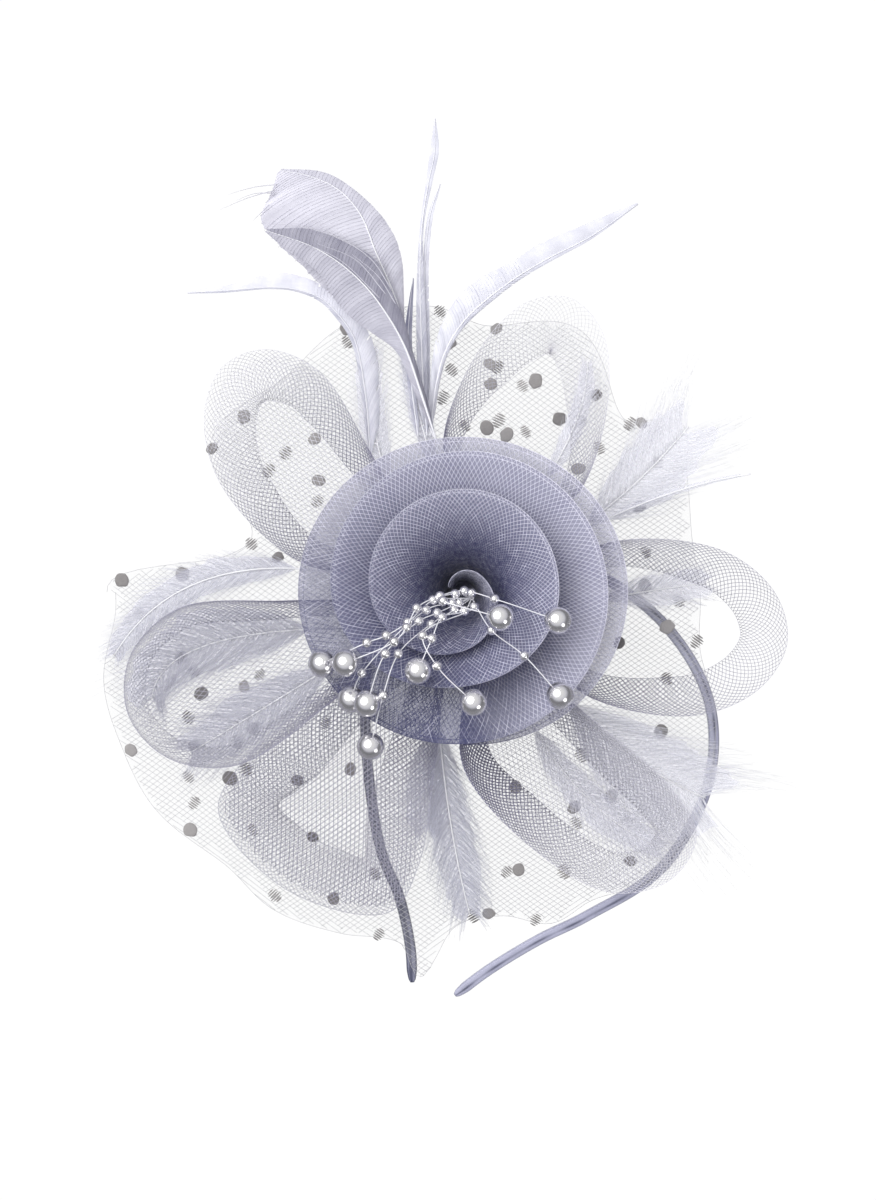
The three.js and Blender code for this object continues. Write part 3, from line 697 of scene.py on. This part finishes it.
def make_headband():
    """Satin ribbon wound on the band, with its edge as a fine dark seam round the side."""
    shares = np.linspace(0, 1, BAND_STEPS)
    section = rounded_section(BAND_THICKNESS, BAND_HEIGHT, BAND_CORNER, across=12)
    from_tip = np.minimum(shares, 1 - shares) * band_path.length
    narrow = 0.35 + 0.65 * np.sqrt(np.clip(from_tip / 4, 0, 1))
    across = section[None, :, 0] * narrow[:, None]
    up = (section[None, :, 1] - BAND_HEIGHT / 2) * (0.75 + 0.25 * narrow[:, None]) + BAND_HEIGHT / 2
    points = swept(shares, across, up + band_lift(shares)[:, None])
    round_share = np.arctan2(section[:, 1] - BAND_HEIGHT / 2, section[:, 0])
    turns = 2 * math.pi * shares[:, None] * band_path.length
    winding = 0.5 + 0.5 * np.sin(turns / WINDING_PITCH + round_share[None])
    dashes = 0.75 + 0.25 * np.sin(turns / DASH_PITCH)
    on_top = section[None, :, 1] > SEAM_ABOVE
    seam = np.exp(-((section[None, :, 0] - SEAM_PLACE) / SEAM_WIDTH) ** 2) * on_top * dashes
    left_leg = smooth_step(shares[:, None], LEFT_LEG, LEFT_LEG + 0.04)
    edges = smooth_step(np.abs(section[None, :, 0]), 1.0, 1.45) * smooth_step(shares[:, None], 0.1, 0.3)
    shade = 0.95 + 0.15 * winding - 0.95 * seam - 0.65 * left_leg - 0.45 * edges
    faces = tube_faces(len(shares), len(section))
    piece = mesh_piece("satin_band", points.reshape(-1, 3), faces, SATIN, {"shade": shade.reshape(-1)})
    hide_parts("headband")


def make_strap():
    shares = np.linspace(STRAP_FROM, STRAP_TO, STRAP_STEPS)
    bore = BAND_THICKNESS + 2 * CLEARANCE + BORE_GAP
    width = bore + 2 * STRAP_WALL + STRAP_SPREAD
    outer = rounded_section(width, STRAP_TOP, STRAP_CORNER)
    inner = rounded_section(bore, BAND_HEIGHT + 2 * CLEARANCE, BORE_CORNER) + [0, STRAP_WALL]
    points = np.concatenate([swept(shares, section[None, :, 0], section[None, :, 1]).reshape(-1, 3)
                             for section in (outer, inner)])
    columns = len(outer)
    bore_start = len(shares) * columns
    last = (len(shares) - 1) * columns
    faces = tube_faces(len(shares), columns)[:-2]
    faces += [[v + bore_start for v in face[::-1]] for face in faces]
    for j in range(columns):
        k = (j + 1) % columns
        faces.append([j, bore_start + j, bore_start + k, k])
        faces.append([last + j, last + k, bore_start + last + k, bore_start + last + j])
    piece = mesh_piece("felt_strap", points, faces, FELT)
    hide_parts("band_strap")


def lathe(profile, sides):
    """Points and faces of a turned shape round +Z, closed on its axis by end faces."""
    turn = 2 * math.pi * np.arange(sides) / sides
    points = [np.stack([radius * np.cos(turn), radius * np.sin(turn), np.full(sides, z)], axis=1)
              for radius, z in profile]
    return np.concatenate(points), tube_faces(len(profile), sides)


def make_pad():
    """Felt disc with soft cut edges and a slightly uneven face."""
    profile = [(0.02, 0.0), (0.5, 0.0), (0.9, 0.0), (0.985, 0.02), (1.0, 0.2),
               (1.0, 0.8), (0.985, 0.98), (0.9, 1.0), (0.5, 1.0), (0.02, 1.0)]
    points, faces = lathe(profile, PAD_SIDES)
    turn = np.arctan2(points[:, 1], points[:, 0])
    ripple = PAD_RIPPLE * np.sin(5 * turn + 9 * np.hypot(points[:, 0], points[:, 1])) * points[:, 2]
    points[:, :2] *= PAD_RADIUS
    points[:, 2] = mix(PAD_BASE, PAD_TOP, points[:, 2]) - np.abs(ripple)
    piece = mesh_piece("felt_pad", points, faces, FELT)
    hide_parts("base_pad")


# Spotted net

NET_RING = [(NET_PLAN[-1][0] - 360, NET_PLAN[-1][1]), *NET_PLAN, (NET_PLAN[0][0] + 360, NET_PLAN[0][1])]


def net_edge(angle):
    return NET_REACH * read_column(NET_RING, 1, angle)


def net_height(angle, reach):
    turn = np.radians(angle)
    wave = 0.5 + 0.32 * np.sin(9 * turn) + 0.18 * np.sin(14 * turn + 1)
    free = smooth_step(reach, PAD_RADIUS, 2.3 * PAD_RADIUS)
    outer = smooth_step(reach, 0.62 * NET_REACH, NET_REACH)
    left = np.maximum(0, -np.cos(turn))
    return NET_MIDDLE - RUFFLE_DEPTH * free * wave - DROOP_DEPTH * outer * left


def on_net(spots, lift=0.0):
    """Plan points (n, 2) put on the net."""
    return np.column_stack([spots, net_height(*polar_of(spots)) + lift])


def clip_runs(keep):
    """(start, stop) of each run of two or more True."""
    edges = np.flatnonzero(np.diff(np.concatenate([[0], keep.astype(int), [0]])))
    return [(start, stop) for start, stop in zip(edges[::2], edges[1::2]) if stop - start > 1]


def axes(degrees):
    """Unit plan vectors along a direction and square to it."""
    along = polar(degrees, 1.0)[:2]
    return along, np.array([-along[1], along[0]])


def hatch(slants, span, offsets, wander):
    """Plan points of every thread in families of parallel threads that waver."""
    for slant in slants:
        along, across = axes(slant)
        for offset in offsets:
            yield span[:, None] * along + (offset + wander(offset))[:, None] * across


def make_net_film():
    angles = np.linspace(-180, 180, NET_SIDES, endpoint=False)
    rings = np.linspace(0, 1, NET_RINGS)
    edge = net_edge(angles)
    reach = mix(NET_HOLE, edge[:, None], rings[None])
    points = polar(angles[:, None], reach, net_height(angles[:, None], reach))
    area = 0.5 * math.radians(360 / len(angles)) * (edge**2).sum() * MM**2
    faces = grid_faces(len(angles), len(rings), ring=True)
    piece = mesh_piece("net_film", points.reshape(-1, 3), faces, NET_FILM)
    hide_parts("spotted_net")
    return piece, area


def make_net_strands():
    """Two families of fine threads that cross in long diamonds."""
    bundle = Bundle()
    span = np.arange(-NET_REACH * 1.1, NET_REACH * 1.1, NET_STEP)
    offsets = np.arange(-NET_REACH, NET_REACH, NET_CELL)
    for spots in hatch(NET_SLANTS, span, offsets, lambda offset: 0.9 * np.sin(span / 17 + offset / 11)):
        angle, reach = polar_of(spots)
        for start, stop in clip_runs((reach < net_edge(angle)) & (reach > NET_STRANDS_START)):
            bundle.tube(on_net(spots[start:stop]), NET_THREAD, 3, NET_SHADE)
    angles = np.linspace(-180, 180, 361)
    edge = net_edge(angles)
    bundle.tube(polar(angles, edge - 0.1, net_height(angles, edge)), NET_THREAD, 3, NET_SHADE)
    piece = bundle.piece("net_strands", NET_STRAND)
    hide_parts("spotted_net")
    return piece


def oval_blob(rng, x, y, size):
    """A low uneven dome on the net."""
    turn = rng.uniform(0, math.pi)
    oval = rng.uniform(0.75, 1.0)
    wobble = [rng.uniform(-0.04, 0.04) for _ in range(5)]
    around = 2 * math.pi * np.arange(DOT_SIDES) / DOT_SIDES
    rim = size * (1 + sum(w * np.sin((n + 2) * around + n) for n, w in enumerate(wobble)))
    rings = [(1.0, 0.0), (0.96, 0.28), (0.75, 0.42), (0.35, 0.46)]
    points = []
    for share, up in rings:
        dx = share * rim * np.cos(around)
        dy = share * rim * oval * np.sin(around)
        spots = np.column_stack([x + dx * math.cos(turn) - dy * math.sin(turn),
                                 y + dx * math.sin(turn) + dy * math.cos(turn)])
        points.append(on_net(spots, up))
    return np.concatenate(points), tube_faces(len(rings), DOT_SIDES)


def streaky_dot(bundle, rng, x, y, size, shade):
    """Flock that has caught on neighbouring threads only, as short bars inside a round outline."""
    along, across = axes(rng.choice(NET_SLANTS) + rng.uniform(-12, 12))
    for offset in np.arange(-0.8, 0.81, 0.32):
        half = math.sqrt(1 - offset**2) * size * rng.uniform(0.7, 1)
        t = np.linspace(-1, 1, 5)
        spots = np.array([x, y]) + offset * size * across + np.outer(t * half, along)
        thick = size * 0.11 * rng.uniform(0.8, 1.25) * np.sqrt(1.1 - t**2)
        bundle.tube(on_net(spots, 0.15), thick, 5, shade)


def make_dots():
    """Flocked dots on the net. Every second one is streaky."""
    rng = random.Random(DOT_SEED)
    bundle = Bundle()
    for index, (px, py) in enumerate(DOT_PIXELS):
        x, y = at_pixel(px, py)
        reach = math.hypot(x, y)
        limit = float(net_edge(math.degrees(math.atan2(y, x)))) - 1
        if reach > limit:
            x *= limit / reach
            y *= limit / reach
        size = DOT_RADIUS * rng.uniform(0.8, 1.02)
        shade = rng.uniform(0.25, 0.8)
        if index % 2 == 1:
            streaky_dot(bundle, rng, x, y, size, shade)
        else:
            bundle.shape(*oval_blob(rng, x, y, size), shade)
    piece = bundle.piece("net_dots", FLOCK)
    return piece


# Ribbon loops

def loop_path(loop):
    reach = loop["reach"] * LOOP_REACH
    stations = [(RIBBON_ROOT, 0, 0.8), (0.27 * reach, 0, 0.9), (0.5 * reach, 0.12, 1),
                (0.8 * reach, 0.75, loop["shoulder"]), (0.95 * reach, 0.95, loop["crown"])]

    def place(station, side):
        at, turn, spread = station
        return polar(mix(loop["azimuth"], loop["tip"], turn) + side * spread * loop["spread"], at)

    out = [place(s, 1) for s in stations]
    back = [place(s, -1) for s in stations][::-1]
    return catmull_rom([*out, polar(loop["tip"], reach), *back])


def loop_surface(loop, path):
    """The ribbon's middle surface as a function of shares along and across it."""

    def at(u, v):
        u, v = np.broadcast_arrays(np.asarray(u, float), np.asarray(v, float))
        edge = path.at(u)
        chord = path.at(np.minimum(u + loop["ease"], 1)) - path.at(np.maximum(u - loop["ease"], 0))
        inward = sideways(chord)
        reach = np.hypot(edge[..., 0], edge[..., 1])
        spread = np.clip((reach - RIBBON_ROOT) / (RIBBON_FULL - RIBBON_ROOT), 0, 1)
        width = mix(RIBBON_GATHERED, RIBBON_WIDTH, spread)
        lean = np.radians(mix(loop["side_lean"], loop["tip_lean"], np.sin(math.pi * u) ** 4))
        floor = LOOP_FOOT + LOOP_RISE * smooth_step(reach, RISE_START, RISE_END)
        drop = (1 - v) * width
        point = edge + inward * (drop * np.sin(lean) - RIBBON_BOW * np.sin(math.pi * v))[..., None]
        point[..., 2] = floor + v * width * np.cos(lean)
        return point

    return at


def weave(bundle, surface, length, width, pitch, radius, shade, steps, slope=1.0):
    """Two families of threads on the bias of a ribbon."""
    run = width / slope
    v = np.linspace(0, 1, steps)
    for direction in (1, -1):
        for start in np.arange(-run, length + run, pitch):
            x = start + direction * (v - 0.5) * run
            u = x / length
            for low, high in clip_runs((u >= 0) & (u <= 1)):
                line = surface(u[low:high], v[low:high])
                bundle.tube(line, radius(u[low:high]), 3, shade(u[low:high], v[low:high]))


def over_crown(values, along):
    """One value for each side of a loop and one for its crown, blended along the ribbon."""
    first, crown, second = values
    return mix(mix(first, second, along), crown, np.sin(math.pi * along) ** 4)


def loop_tone(loop, along):
    """Painted light and shade of the threads from one side of the loop over its crown to the other, with
    a painted shadow of the rose darkening both roots.
    """
    # Painted shadow of the rose over the loop's two roots.
    rose_shadow = 1 - smooth_step(np.minimum(along, 1 - along), 0.1, 0.22)
    return over_crown(loop["tones"], along) - 0.45 * rose_shadow


def inside(outline, spots):
    """Which plan points lie within a closed outline."""
    x, y = spots[:, :1], spots[:, 1:]
    ax, ay = outline.T
    bx, by = np.roll(outline, -1, axis=0).T
    crosses = (ay > y) != (by > y)
    at = ax + (y - ay) * (bx - ax) / np.where(by == ay, 1e-9, by - ay)
    return (crosses & (x < at)).sum(axis=1) % 2 == 1


def line_loop(bundle, outline, loop):
    """The ribbon's inner layer, which lies nearly flat across the opening of its loop."""
    shade, thread = loop["lining"]
    centre = outline.mean(axis=0)
    span = np.arange(-LINING_SPAN, LINING_SPAN, LINING_STEP)
    slants = (loop["tip"] - LINING_SLANT, loop["tip"] + LINING_SLANT)
    offsets = np.arange(-LINING_REACH, LINING_REACH, LINING_PITCH)
    for spots in hatch(slants, span, offsets, lambda offset: 0.8 * np.sin(span / 13)):
        spots += centre
        for start, stop in clip_runs(inside(outline, spots) & (np.hypot(*spots.T) > LINING_START)):
            height = np.full(stop - start, LOOP_FOOT + LOOP_RISE)
            bundle.tube(np.column_stack([spots[start:stop], height]), thread, 3, shade)


def make_loop(loop):
    path = loop_path(loop)
    surface = loop_surface(loop, path)
    u, v = np.meshgrid(np.linspace(0, 1, LOOP_STEPS), np.linspace(0, 1, LOOP_ROWS), indexing="ij")
    film = mesh_piece(loop["name"] + "_film", surface(u, v).reshape(-1, 3), grid_faces(*u.shape), CRIN_FILM)
    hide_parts(loop["name"])
    bundle = Bundle()
    weave(bundle, surface, path.length, RIBBON_WIDTH, CRIN_PITCH * loop["coarse"],
          lambda a: over_crown(loop["thread"], a), lambda a, b: loop_tone(loop, a), CRIN_STEPS, CRIN_BIAS)
    line = np.linspace(0, 1, 200)
    for across in (0.0, 1.0):
        bundle.tube(surface(line, np.full_like(line, across)), LOOP_EDGE, 4, loop_tone(loop, line))
    if loop["lining"] is not None:
        line_loop(bundle, surface(line, np.full_like(line, LINING_EDGE))[:, :2], loop)
    strands = bundle.piece(loop["name"] + "_strands", CRIN_STRAND)
    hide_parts(loop["name"])
    middle = Path(surface(line, np.full_like(line, 0.5)))


# Rose

def rose_surface(u, v):
    u, v = np.broadcast_arrays(np.asarray(u, float), np.asarray(v, float))
    turn = mix(ROSE_LIP[0][0], ROSE_LIP[-1][0], u)
    neck = ROSE_NECK + ROSE_NECK_STEP * turn
    lip = ROSE_RADIUS * read_column(ROSE_LIP, 1, turn)
    top = ROSE_HEIGHT * read_column(ROSE_LIP, 2, turn)
    return polar(90 - 360 * turn, mix(neck, lip, v**ROSE_FLARE), STACK_TOP + top * v)


def rose_painted_shading(points, along, across):
    """Painted shade and light: dark in the depth of the funnel where shade falls, light at the lip and on the
    inner curl, lighter in the upper half as light falls from that side, lighter to the right on the brim,
    and a painted pool of light low on the right of the brim.
    """
    x = points[..., 0] / ROSE_RADIUS
    y = points[..., 1] / ROSE_RADIUS
    # Painted pool of light on the brim's lower right.
    corner = 0.9 * np.maximum(x, 0) * np.maximum(-y, 0)
    funnel = 0.43 + 0.6 * y - 0.12 * x
    brim = 0.67 + 0.7 * y + 0.45 * x + 0.2 * np.abs(x) + corner
    light = mix(funnel, brim, smooth_step(along, 0.3, 0.5))
    curl = 1 - smooth_step(along, 0.12, 0.22)
    return 0.02 + light * (1 - 0.35 * curl) * smooth_step(across, mix(0.42, 0.1, curl), 1.0) ** 1.6


def make_rose():
    u, v = np.meshgrid(np.linspace(0, 1, ROSE_STEPS), np.linspace(0, 1, ROSE_RINGS), indexing="ij")
    points = rose_surface(u, v)
    cover = mix(0.82, 0.6, smooth_step(u, 0.5, 0.9) * smooth_step(v, 0.6, 1))
    film = mesh_piece("rose_film", points.reshape(-1, 3), grid_faces(*u.shape), ROSE_FILM,
                      {"shade": rose_painted_shading(points, u, v).reshape(-1), "cover": cover.reshape(-1)})
    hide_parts("rose")
    lip = points[:, -1]
    steps = np.linalg.norm(np.diff(lip, axis=0), axis=1)
    lip_share = np.concatenate([[0], np.cumsum(steps)]) / steps.sum()
    length = steps.sum()

    def surface(x, across):
        return rose_surface(np.interp(x, lip_share, u[:, 0]), across)

    rng = np.random.default_rng(ROSE_SEED)

    def glint(across):
        caught = rng.random(across.shape) > ROSE_DULL_SHARE
        return across * ROSE_LIGHTER + smooth_step(across, 0.5, 0.9) * ROSE_GLINT * caught

    bundle = Bundle()
    weave(bundle, surface, length, ROSE_WIDTH, ROSE_PITCH, lambda a: ROSE_THREAD,
          lambda a, b: rose_painted_shading(surface(a, b), np.interp(a, lip_share, u[:, 0]), b) + glint(b),
          ROSE_THREAD_STEPS)
    line = np.linspace(0, 1, ROSE_EDGE_STEPS)
    for across in (1.0, 0.985, 0.0):
        edge = surface(line, np.full_like(line, across))
        bundle.tube(edge, ROSE_THREAD, 4, 0.6 * rose_painted_shading(edge, 1.0, across))
    strands = bundle.piece("rose_strands", ROSE_STRAND)
    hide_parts("rose")


# Spray of pearls

def spray_place(spot, height):
    return polar(spot[0], spot[1] * ROSE_RADIUS, STACK_TOP + height * ROSE_HEIGHT)


def bead(radius, rings, sides):
    """A round bead with a small dimple at each end of its hole."""
    hole = BEAD_HOLE * radius
    profile = [(hole, -radius * BEAD_END)]
    for k in range(rings + 1):
        tilt = math.radians(mix(-BEAD_TILT, BEAD_TILT, k / rings))
        profile.append((radius * math.cos(tilt), radius * math.sin(tilt)))
    profile.append((hole, radius * BEAD_END))
    return lathe(profile, sides)


def turned(points, heading):
    """Points turned so that their +Z lies along heading."""
    z = unit(heading)
    x = unit(np.cross([0, 1, 0] if abs(z[1]) < 0.9 else [1, 0, 0], z))
    return points @ np.stack([x, np.cross(z, x), z])


def make_spray():
    base = np.array([0, 0, PAD_TOP + CLEARANCE])
    top = np.array([*STEM_LEAN, base[2] + STEM_HEIGHT])
    bend = np.array([0, 0, base[2] + STEM_HEIGHT / 2])
    stem = bezier(base, bend, top)
    wires = Bundle()
    shares = np.linspace(0, 1, WIRE_STEPS)
    spine = stem.at(shares)
    for k in range(len(PEARLS)):
        turn = 2 * math.pi * k / len(PEARLS) + shares * STEM_TWIST
        ring = STEM_RADIUS - WIRE_RADIUS - 0.05
        twist = np.stack([ring * np.cos(turn), ring * np.sin(turn), np.zeros_like(turn)], axis=1)
        wires.tube(spine + twist, WIRE_RADIUS, 5, 0.4)
    seeds = Bundle()
    ball, ball_faces = bead(SEED_RADIUS, 12, 20)
    round_pearl, pearl_faces = bead(PEARL_RADIUS, 24, 40)
    for index, pearl in enumerate(PEARLS):
        centre = spray_place(pearl["place"], pearl["height"])
        start = top - [0, 0, 2]
        arch = bezier(start, spray_place(pearl["pull"], pearl["arch"]), centre)
        span = np.hypot(*(centre - start)[:2])
        stops = [start]
        for pixel in SEED_PIXELS[index]:
            spot = np.array([*at_pixel(*pixel), 0.0])
            spot[2] = arch.at(min(np.hypot(*(spot - start)[:2]) / span, 1.0))[2]
            stops.append(spot)
        path = catmull_rom([*stops, centre])
        stop = 1 - (PEARL_RADIUS * 0.6) / path.length
        wires.tube(path.at(np.linspace(0, stop, WIRE_STEPS)), WIRE_RADIUS, 8, 0.6)
        for spot in stops[1:]:
            share = path.shares[np.argmin(np.linalg.norm(path.points - spot, axis=1))]
            seeds.shape(turned(ball, path.heading(np.array(share))) + spot, ball_faces, 0.5)
        name = f"pearl_{index + 1:02d}"
        heading = path.heading(np.array(1.0))
        piece = mesh_piece(name + "_bead", turned(round_pearl, heading) + centre, pearl_faces, PEARL)
        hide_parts(name)
    piece = wires.piece("spray_wires", WIRE)
    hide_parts("spray_stems")
    small = seeds.piece("seed_beads", PEARL)


# Feathers

def pixel_path(pixels):
    return catmull_rom([[*at_pixel(*pixel), 0.0] for pixel in pixels])


def make_quill(name, line, low, high, shade):
    shaft = Bundle()
    shaft.tube(line, mix(low, high, np.linspace(0, 1, len(line))), 6, shade)
    shaft.piece(name + "_quill", QUILL)


def make_vaned_feather(plan):
    """Two smooth vanes of barbs that hold together, parting here and there at the edge."""
    rng = random.Random(plan["name"])
    goose = plan["name"].startswith("goose")
    quill = pixel_path(plan["quill"])
    count = int(quill.length / BARB_GAP)

    def spine(share):
        point = quill.at(share)
        point[..., 2] = mix(*plan["heights"], share**QUILL_CURVE)
        return point

    bundle = Bundle()
    t = np.linspace(0, 1, 9)[:, None]
    for side, tone in zip(("left", "right"), plan["tones"]):
        edge = pixel_path(plan[side])
        sink = VANE_SINK if side == "right" else 0.0
        rows = []
        shades = []
        parted = set()
        left_in_clump = 0
        for k in range(count + 1):
            share = k / count
            if left_in_clump == 0:
                clump = rng.randint(*CLUMP)
                left_in_clump = clump
                drift = rng.uniform(-1, 1) * plan["drift"] * (1 - share)
                parted.add(k - 1)
            left_in_clump -= 1
            short = mix(plan["short"], 1, (1 - left_in_clump / clump) ** 0.7)
            base = spine(share)
            end = edge.at(min(mix(share, 1, 0.1 * (1 - share)) + drift, 1))
            end[2] = base[2]
            barb = (end - base) * short * rng.uniform(0.98, 1)
            width = np.linalg.norm(barb)
            pull = base + 0.5 * barb + quill.heading(share) * BARB_BOW * width
            pull[2] += BARB_RISE * width
            line = (1 - t) ** 2 * base + 2 * t * (1 - t) * pull + t**2 * (base + barb) - [0, 0, sink]
            rows.append(line)
            streak = 0.05 * math.sin(0.37 * k) + rng.uniform(-0.06, 0.06) * (1 if goose else 1 - share)
            # tone holds painted shade where a vane turns from the light.
            shade = mix(tone[0], tone[1], share) + streak - 0.12 * (t[:, 0] - 0.5) ** 2
            shades.append(shade)
            if k % 2 == 0 and (goose or share < 0.6):
                hair = line + (line - base) * rng.uniform(-0.05, 0.03)
                bundle.tube(hair + [0, 0, 0.08], HAIR_RADIUS, 3, shade + rng.uniform(-0.15, 0.3))
        columns = len(t)
        faces = []
        for k in range(count):
            for j in range(columns - 1):
                if k in parted and j > 5 and not goose and k < 0.6 * count:
                    continue
                row = k * columns + j
                faces.append([row, row + columns, row + columns + 1, row + 1])
        bundle.shape(np.concatenate(rows), faces, np.concatenate(shades))
    for wisp in plan["wisps"]:
        shares = np.linspace(0, 1, WISP_STEPS)
        line = pixel_path(wisp).at(shares)
        line[:, 2] = plan["heights"][1] + WISP_LIFT
        bundle.tube(line, mix(*WISP_RADII, shares), 4, WISP_SHADE)
    vane = bundle.piece(plan["name"] + "_vane", GOOSE if goose else PLUME)
    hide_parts(plan["name"])
    thick, shade = (0.45, 0.8) if goose else (0.3, 0.4)
    make_quill(plan["name"], spine(np.linspace(0, 1, 70)) + [0, 0, 0.1], thick, 0.08, shade)


def make_plume(feather):
    """A thin quill with loose curling down either side, over a soft haze of finer down."""
    places = (feather["root"], feather["pull"], feather["tip"])
    path = bezier(*(polar(angle, reach * FEATHER_REACH) for angle, reach in places))
    foot = STACK_TOP + FEATHER_LIFT + feather["level"] * FEATHER_SPACING
    rng = random.Random(feather["name"])

    def spine(share):
        point = path.at(share)
        point[..., 2] = foot + feather["lift"] * np.clip(share, 0, 1) ** QUILL_CURVE
        return point

    def barb(share, side, reach, slant, t):
        heading = path.heading(share)
        outward = np.array([heading[1], -heading[0], 0]) * side
        forward = reach / math.tan(slant)
        line = spine(share) + outward * reach * (t * 1.25 - 0.25 * t**2) + heading * forward * t ** 1.15
        line[:, 2] += 0.03 * reach * np.sin(math.pi * t[:, 0])
        return line

    def swell(share):
        vane = (share - feather["bare"]) / (1 - feather["bare"])
        return math.sin(math.pi * min(max(vane, 0), 1) ** 0.8) ** 0.5 * 0.8 + 0.2

    down = Bundle()
    haze = Bundle()
    t = np.linspace(0, 1, 7)[:, None]
    start = feather["bare"] * path.length
    count = int((path.length - start) / DOWN_GAP)
    for side in (1, -1):
        rows = []
        for k in range(count):
            share = (start + k * DOWN_GAP) / path.length
            reach = feather["fluff"] * swell(share)
            if k % 4 == 0:
                ragged = reach * rng.uniform(0.6, 0.8)
                rows.append(barb(share, side, ragged, math.radians(HAZE_SLANT), t))
            for _ in range(DOWN_HAIRS):
                loose = reach * rng.uniform(0.4, 1.15)
                slant = math.radians(rng.uniform(*DOWN_SLANT))
                line = barb(min(share + rng.uniform(0, 0.01), 1), side, loose, slant, t)
                line[:, :2] += 0.02 * loose * np.sin(4 * t + rng.uniform(0, 6)) * t * rng.uniform(-1, 1)
                down.tube(line, DOWN_RADIUS * np.linspace(1, 0.4, 7), 3,
                          feather["tone"] + rng.uniform(-0.15, 0.25))
        haze.shape(np.concatenate(rows) - [0, 0, 0.1], grid_faces(len(rows), len(t)), feather["tone"])
    piece = down.piece(feather["name"] + "_down", PLUME)
    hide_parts(feather["name"])
    haze.piece(feather["name"] + "_haze", DOWN)
    line = spine(np.linspace(0, 1, 50)) + [0, 0, 0.3]
    make_quill(feather["name"], line, 0.34, 0.16, 0.9)


# Setting

def make_floor():
    material = new_material("floor", {"Base Color": (0, 0, 0, 1), "Specular IOR Level": 0, "Roughness": 1,
                                      "Emission Color": (1, 1, 1, 1), "Emission Strength": 1.03})[0]
    mesh = bpy.data.meshes.new("floor")
    corners = [(x * FLOOR_HALF, y * FLOOR_HALF, 0) for x, y in ((-1, -1), (1, -1), (1, 1), (-1, 1))]
    mesh.from_pydata(corners, [], [(0, 1, 2, 3)])
    mesh.materials.append(material)
    floor = add_object("floor", mesh)
    floor.visible_glossy = False


def make_light():
    """A bright soft sky overhead that falls off to a dim horizon, and two large lamps."""
    world = bpy.data.worlds.new("studio")
    world.use_nodes = True
    tree = world.node_tree
    place = add_node(tree, "TexCoord", {})
    climb = tree.nodes.new("ShaderNodeVectorMath")
    climb.operation = "DOT_PRODUCT"
    set_inputs(tree, climb, {0: place.outputs["Generated"], 1: SKY_TOP})
    height = add_node(tree, "MapRange", {"From Min": -1, "Value": climb.outputs["Value"]})
    sky = add_node(tree, "ValToRGB", {"Fac": height.outputs["Result"]})
    sky.color_ramp.elements[0].position = 0.3
    sky.color_ramp.elements[0].color = (0.3, 0.3, 0.33, 1)
    sky.color_ramp.elements[1].position = 0.9
    sky.color_ramp.elements[1].color = (1.05, 1.05, 1.05, 1)
    for at, grey in SKY_GREYS:
        sky.color_ramp.elements.new(at).color = (grey, grey, 1.1 * grey, 1)
    inputs = {"Color": sky.outputs["Color"], "Strength": SKY_STRENGTH}
    set_inputs(tree, tree.nodes["Background"], inputs)
    bpy.context.scene.world = world
    for name, place, size, power in LAMPS:
        light = bpy.data.lights.new(name, "AREA")
        light.shape = "DISK"
        light.size = size
        light.energy = power
        lamp = add_object(name, light)
        lamp.location = place
        aim = -np.array(place)
        lamp.rotation_euler = (math.atan2(math.hypot(aim[0], aim[1]), -aim[2]), 0,
                               math.atan2(aim[1], aim[0]) - math.pi / 2)


def make_camera():
    """Straight down, far enough off that heights hardly shift in the view."""
    camera = bpy.data.cameras.new("camera")
    camera.sensor_width = SENSOR
    camera.lens = SENSOR * CAMERA_DISTANCE / (PHOTO_HEIGHT * MM_PER_PIXEL * MM)
    camera.clip_end = 20
    holder = add_object("camera", camera)
    x = (PHOTO_WIDTH / 2 - FLOWER_PIXEL[0]) * MM_PER_PIXEL
    y = (FLOWER_PIXEL[1] - PHOTO_HEIGHT / 2) * MM_PER_PIXEL
    holder.location = ((x + FLOWER[0]) * MM, (y + FLOWER[1]) * MM, CAMERA_DISTANCE + FOCUS_HEIGHT)
    bpy.context.scene.camera = holder


make_camera()
make_floor()
make_light()
make_headband()
make_strap()
make_pad()
net, net_area = make_net_film()
make_net_strands()
make_dots()
for row in LOOPS:
    make_loop(row)
make_rose()
make_spray()
for row in VANES:
    make_vaned_feather(row)
for row in FEATHERS:
    make_plume(row)

bpy.context.scene.view_settings.view_transform = "Standard"
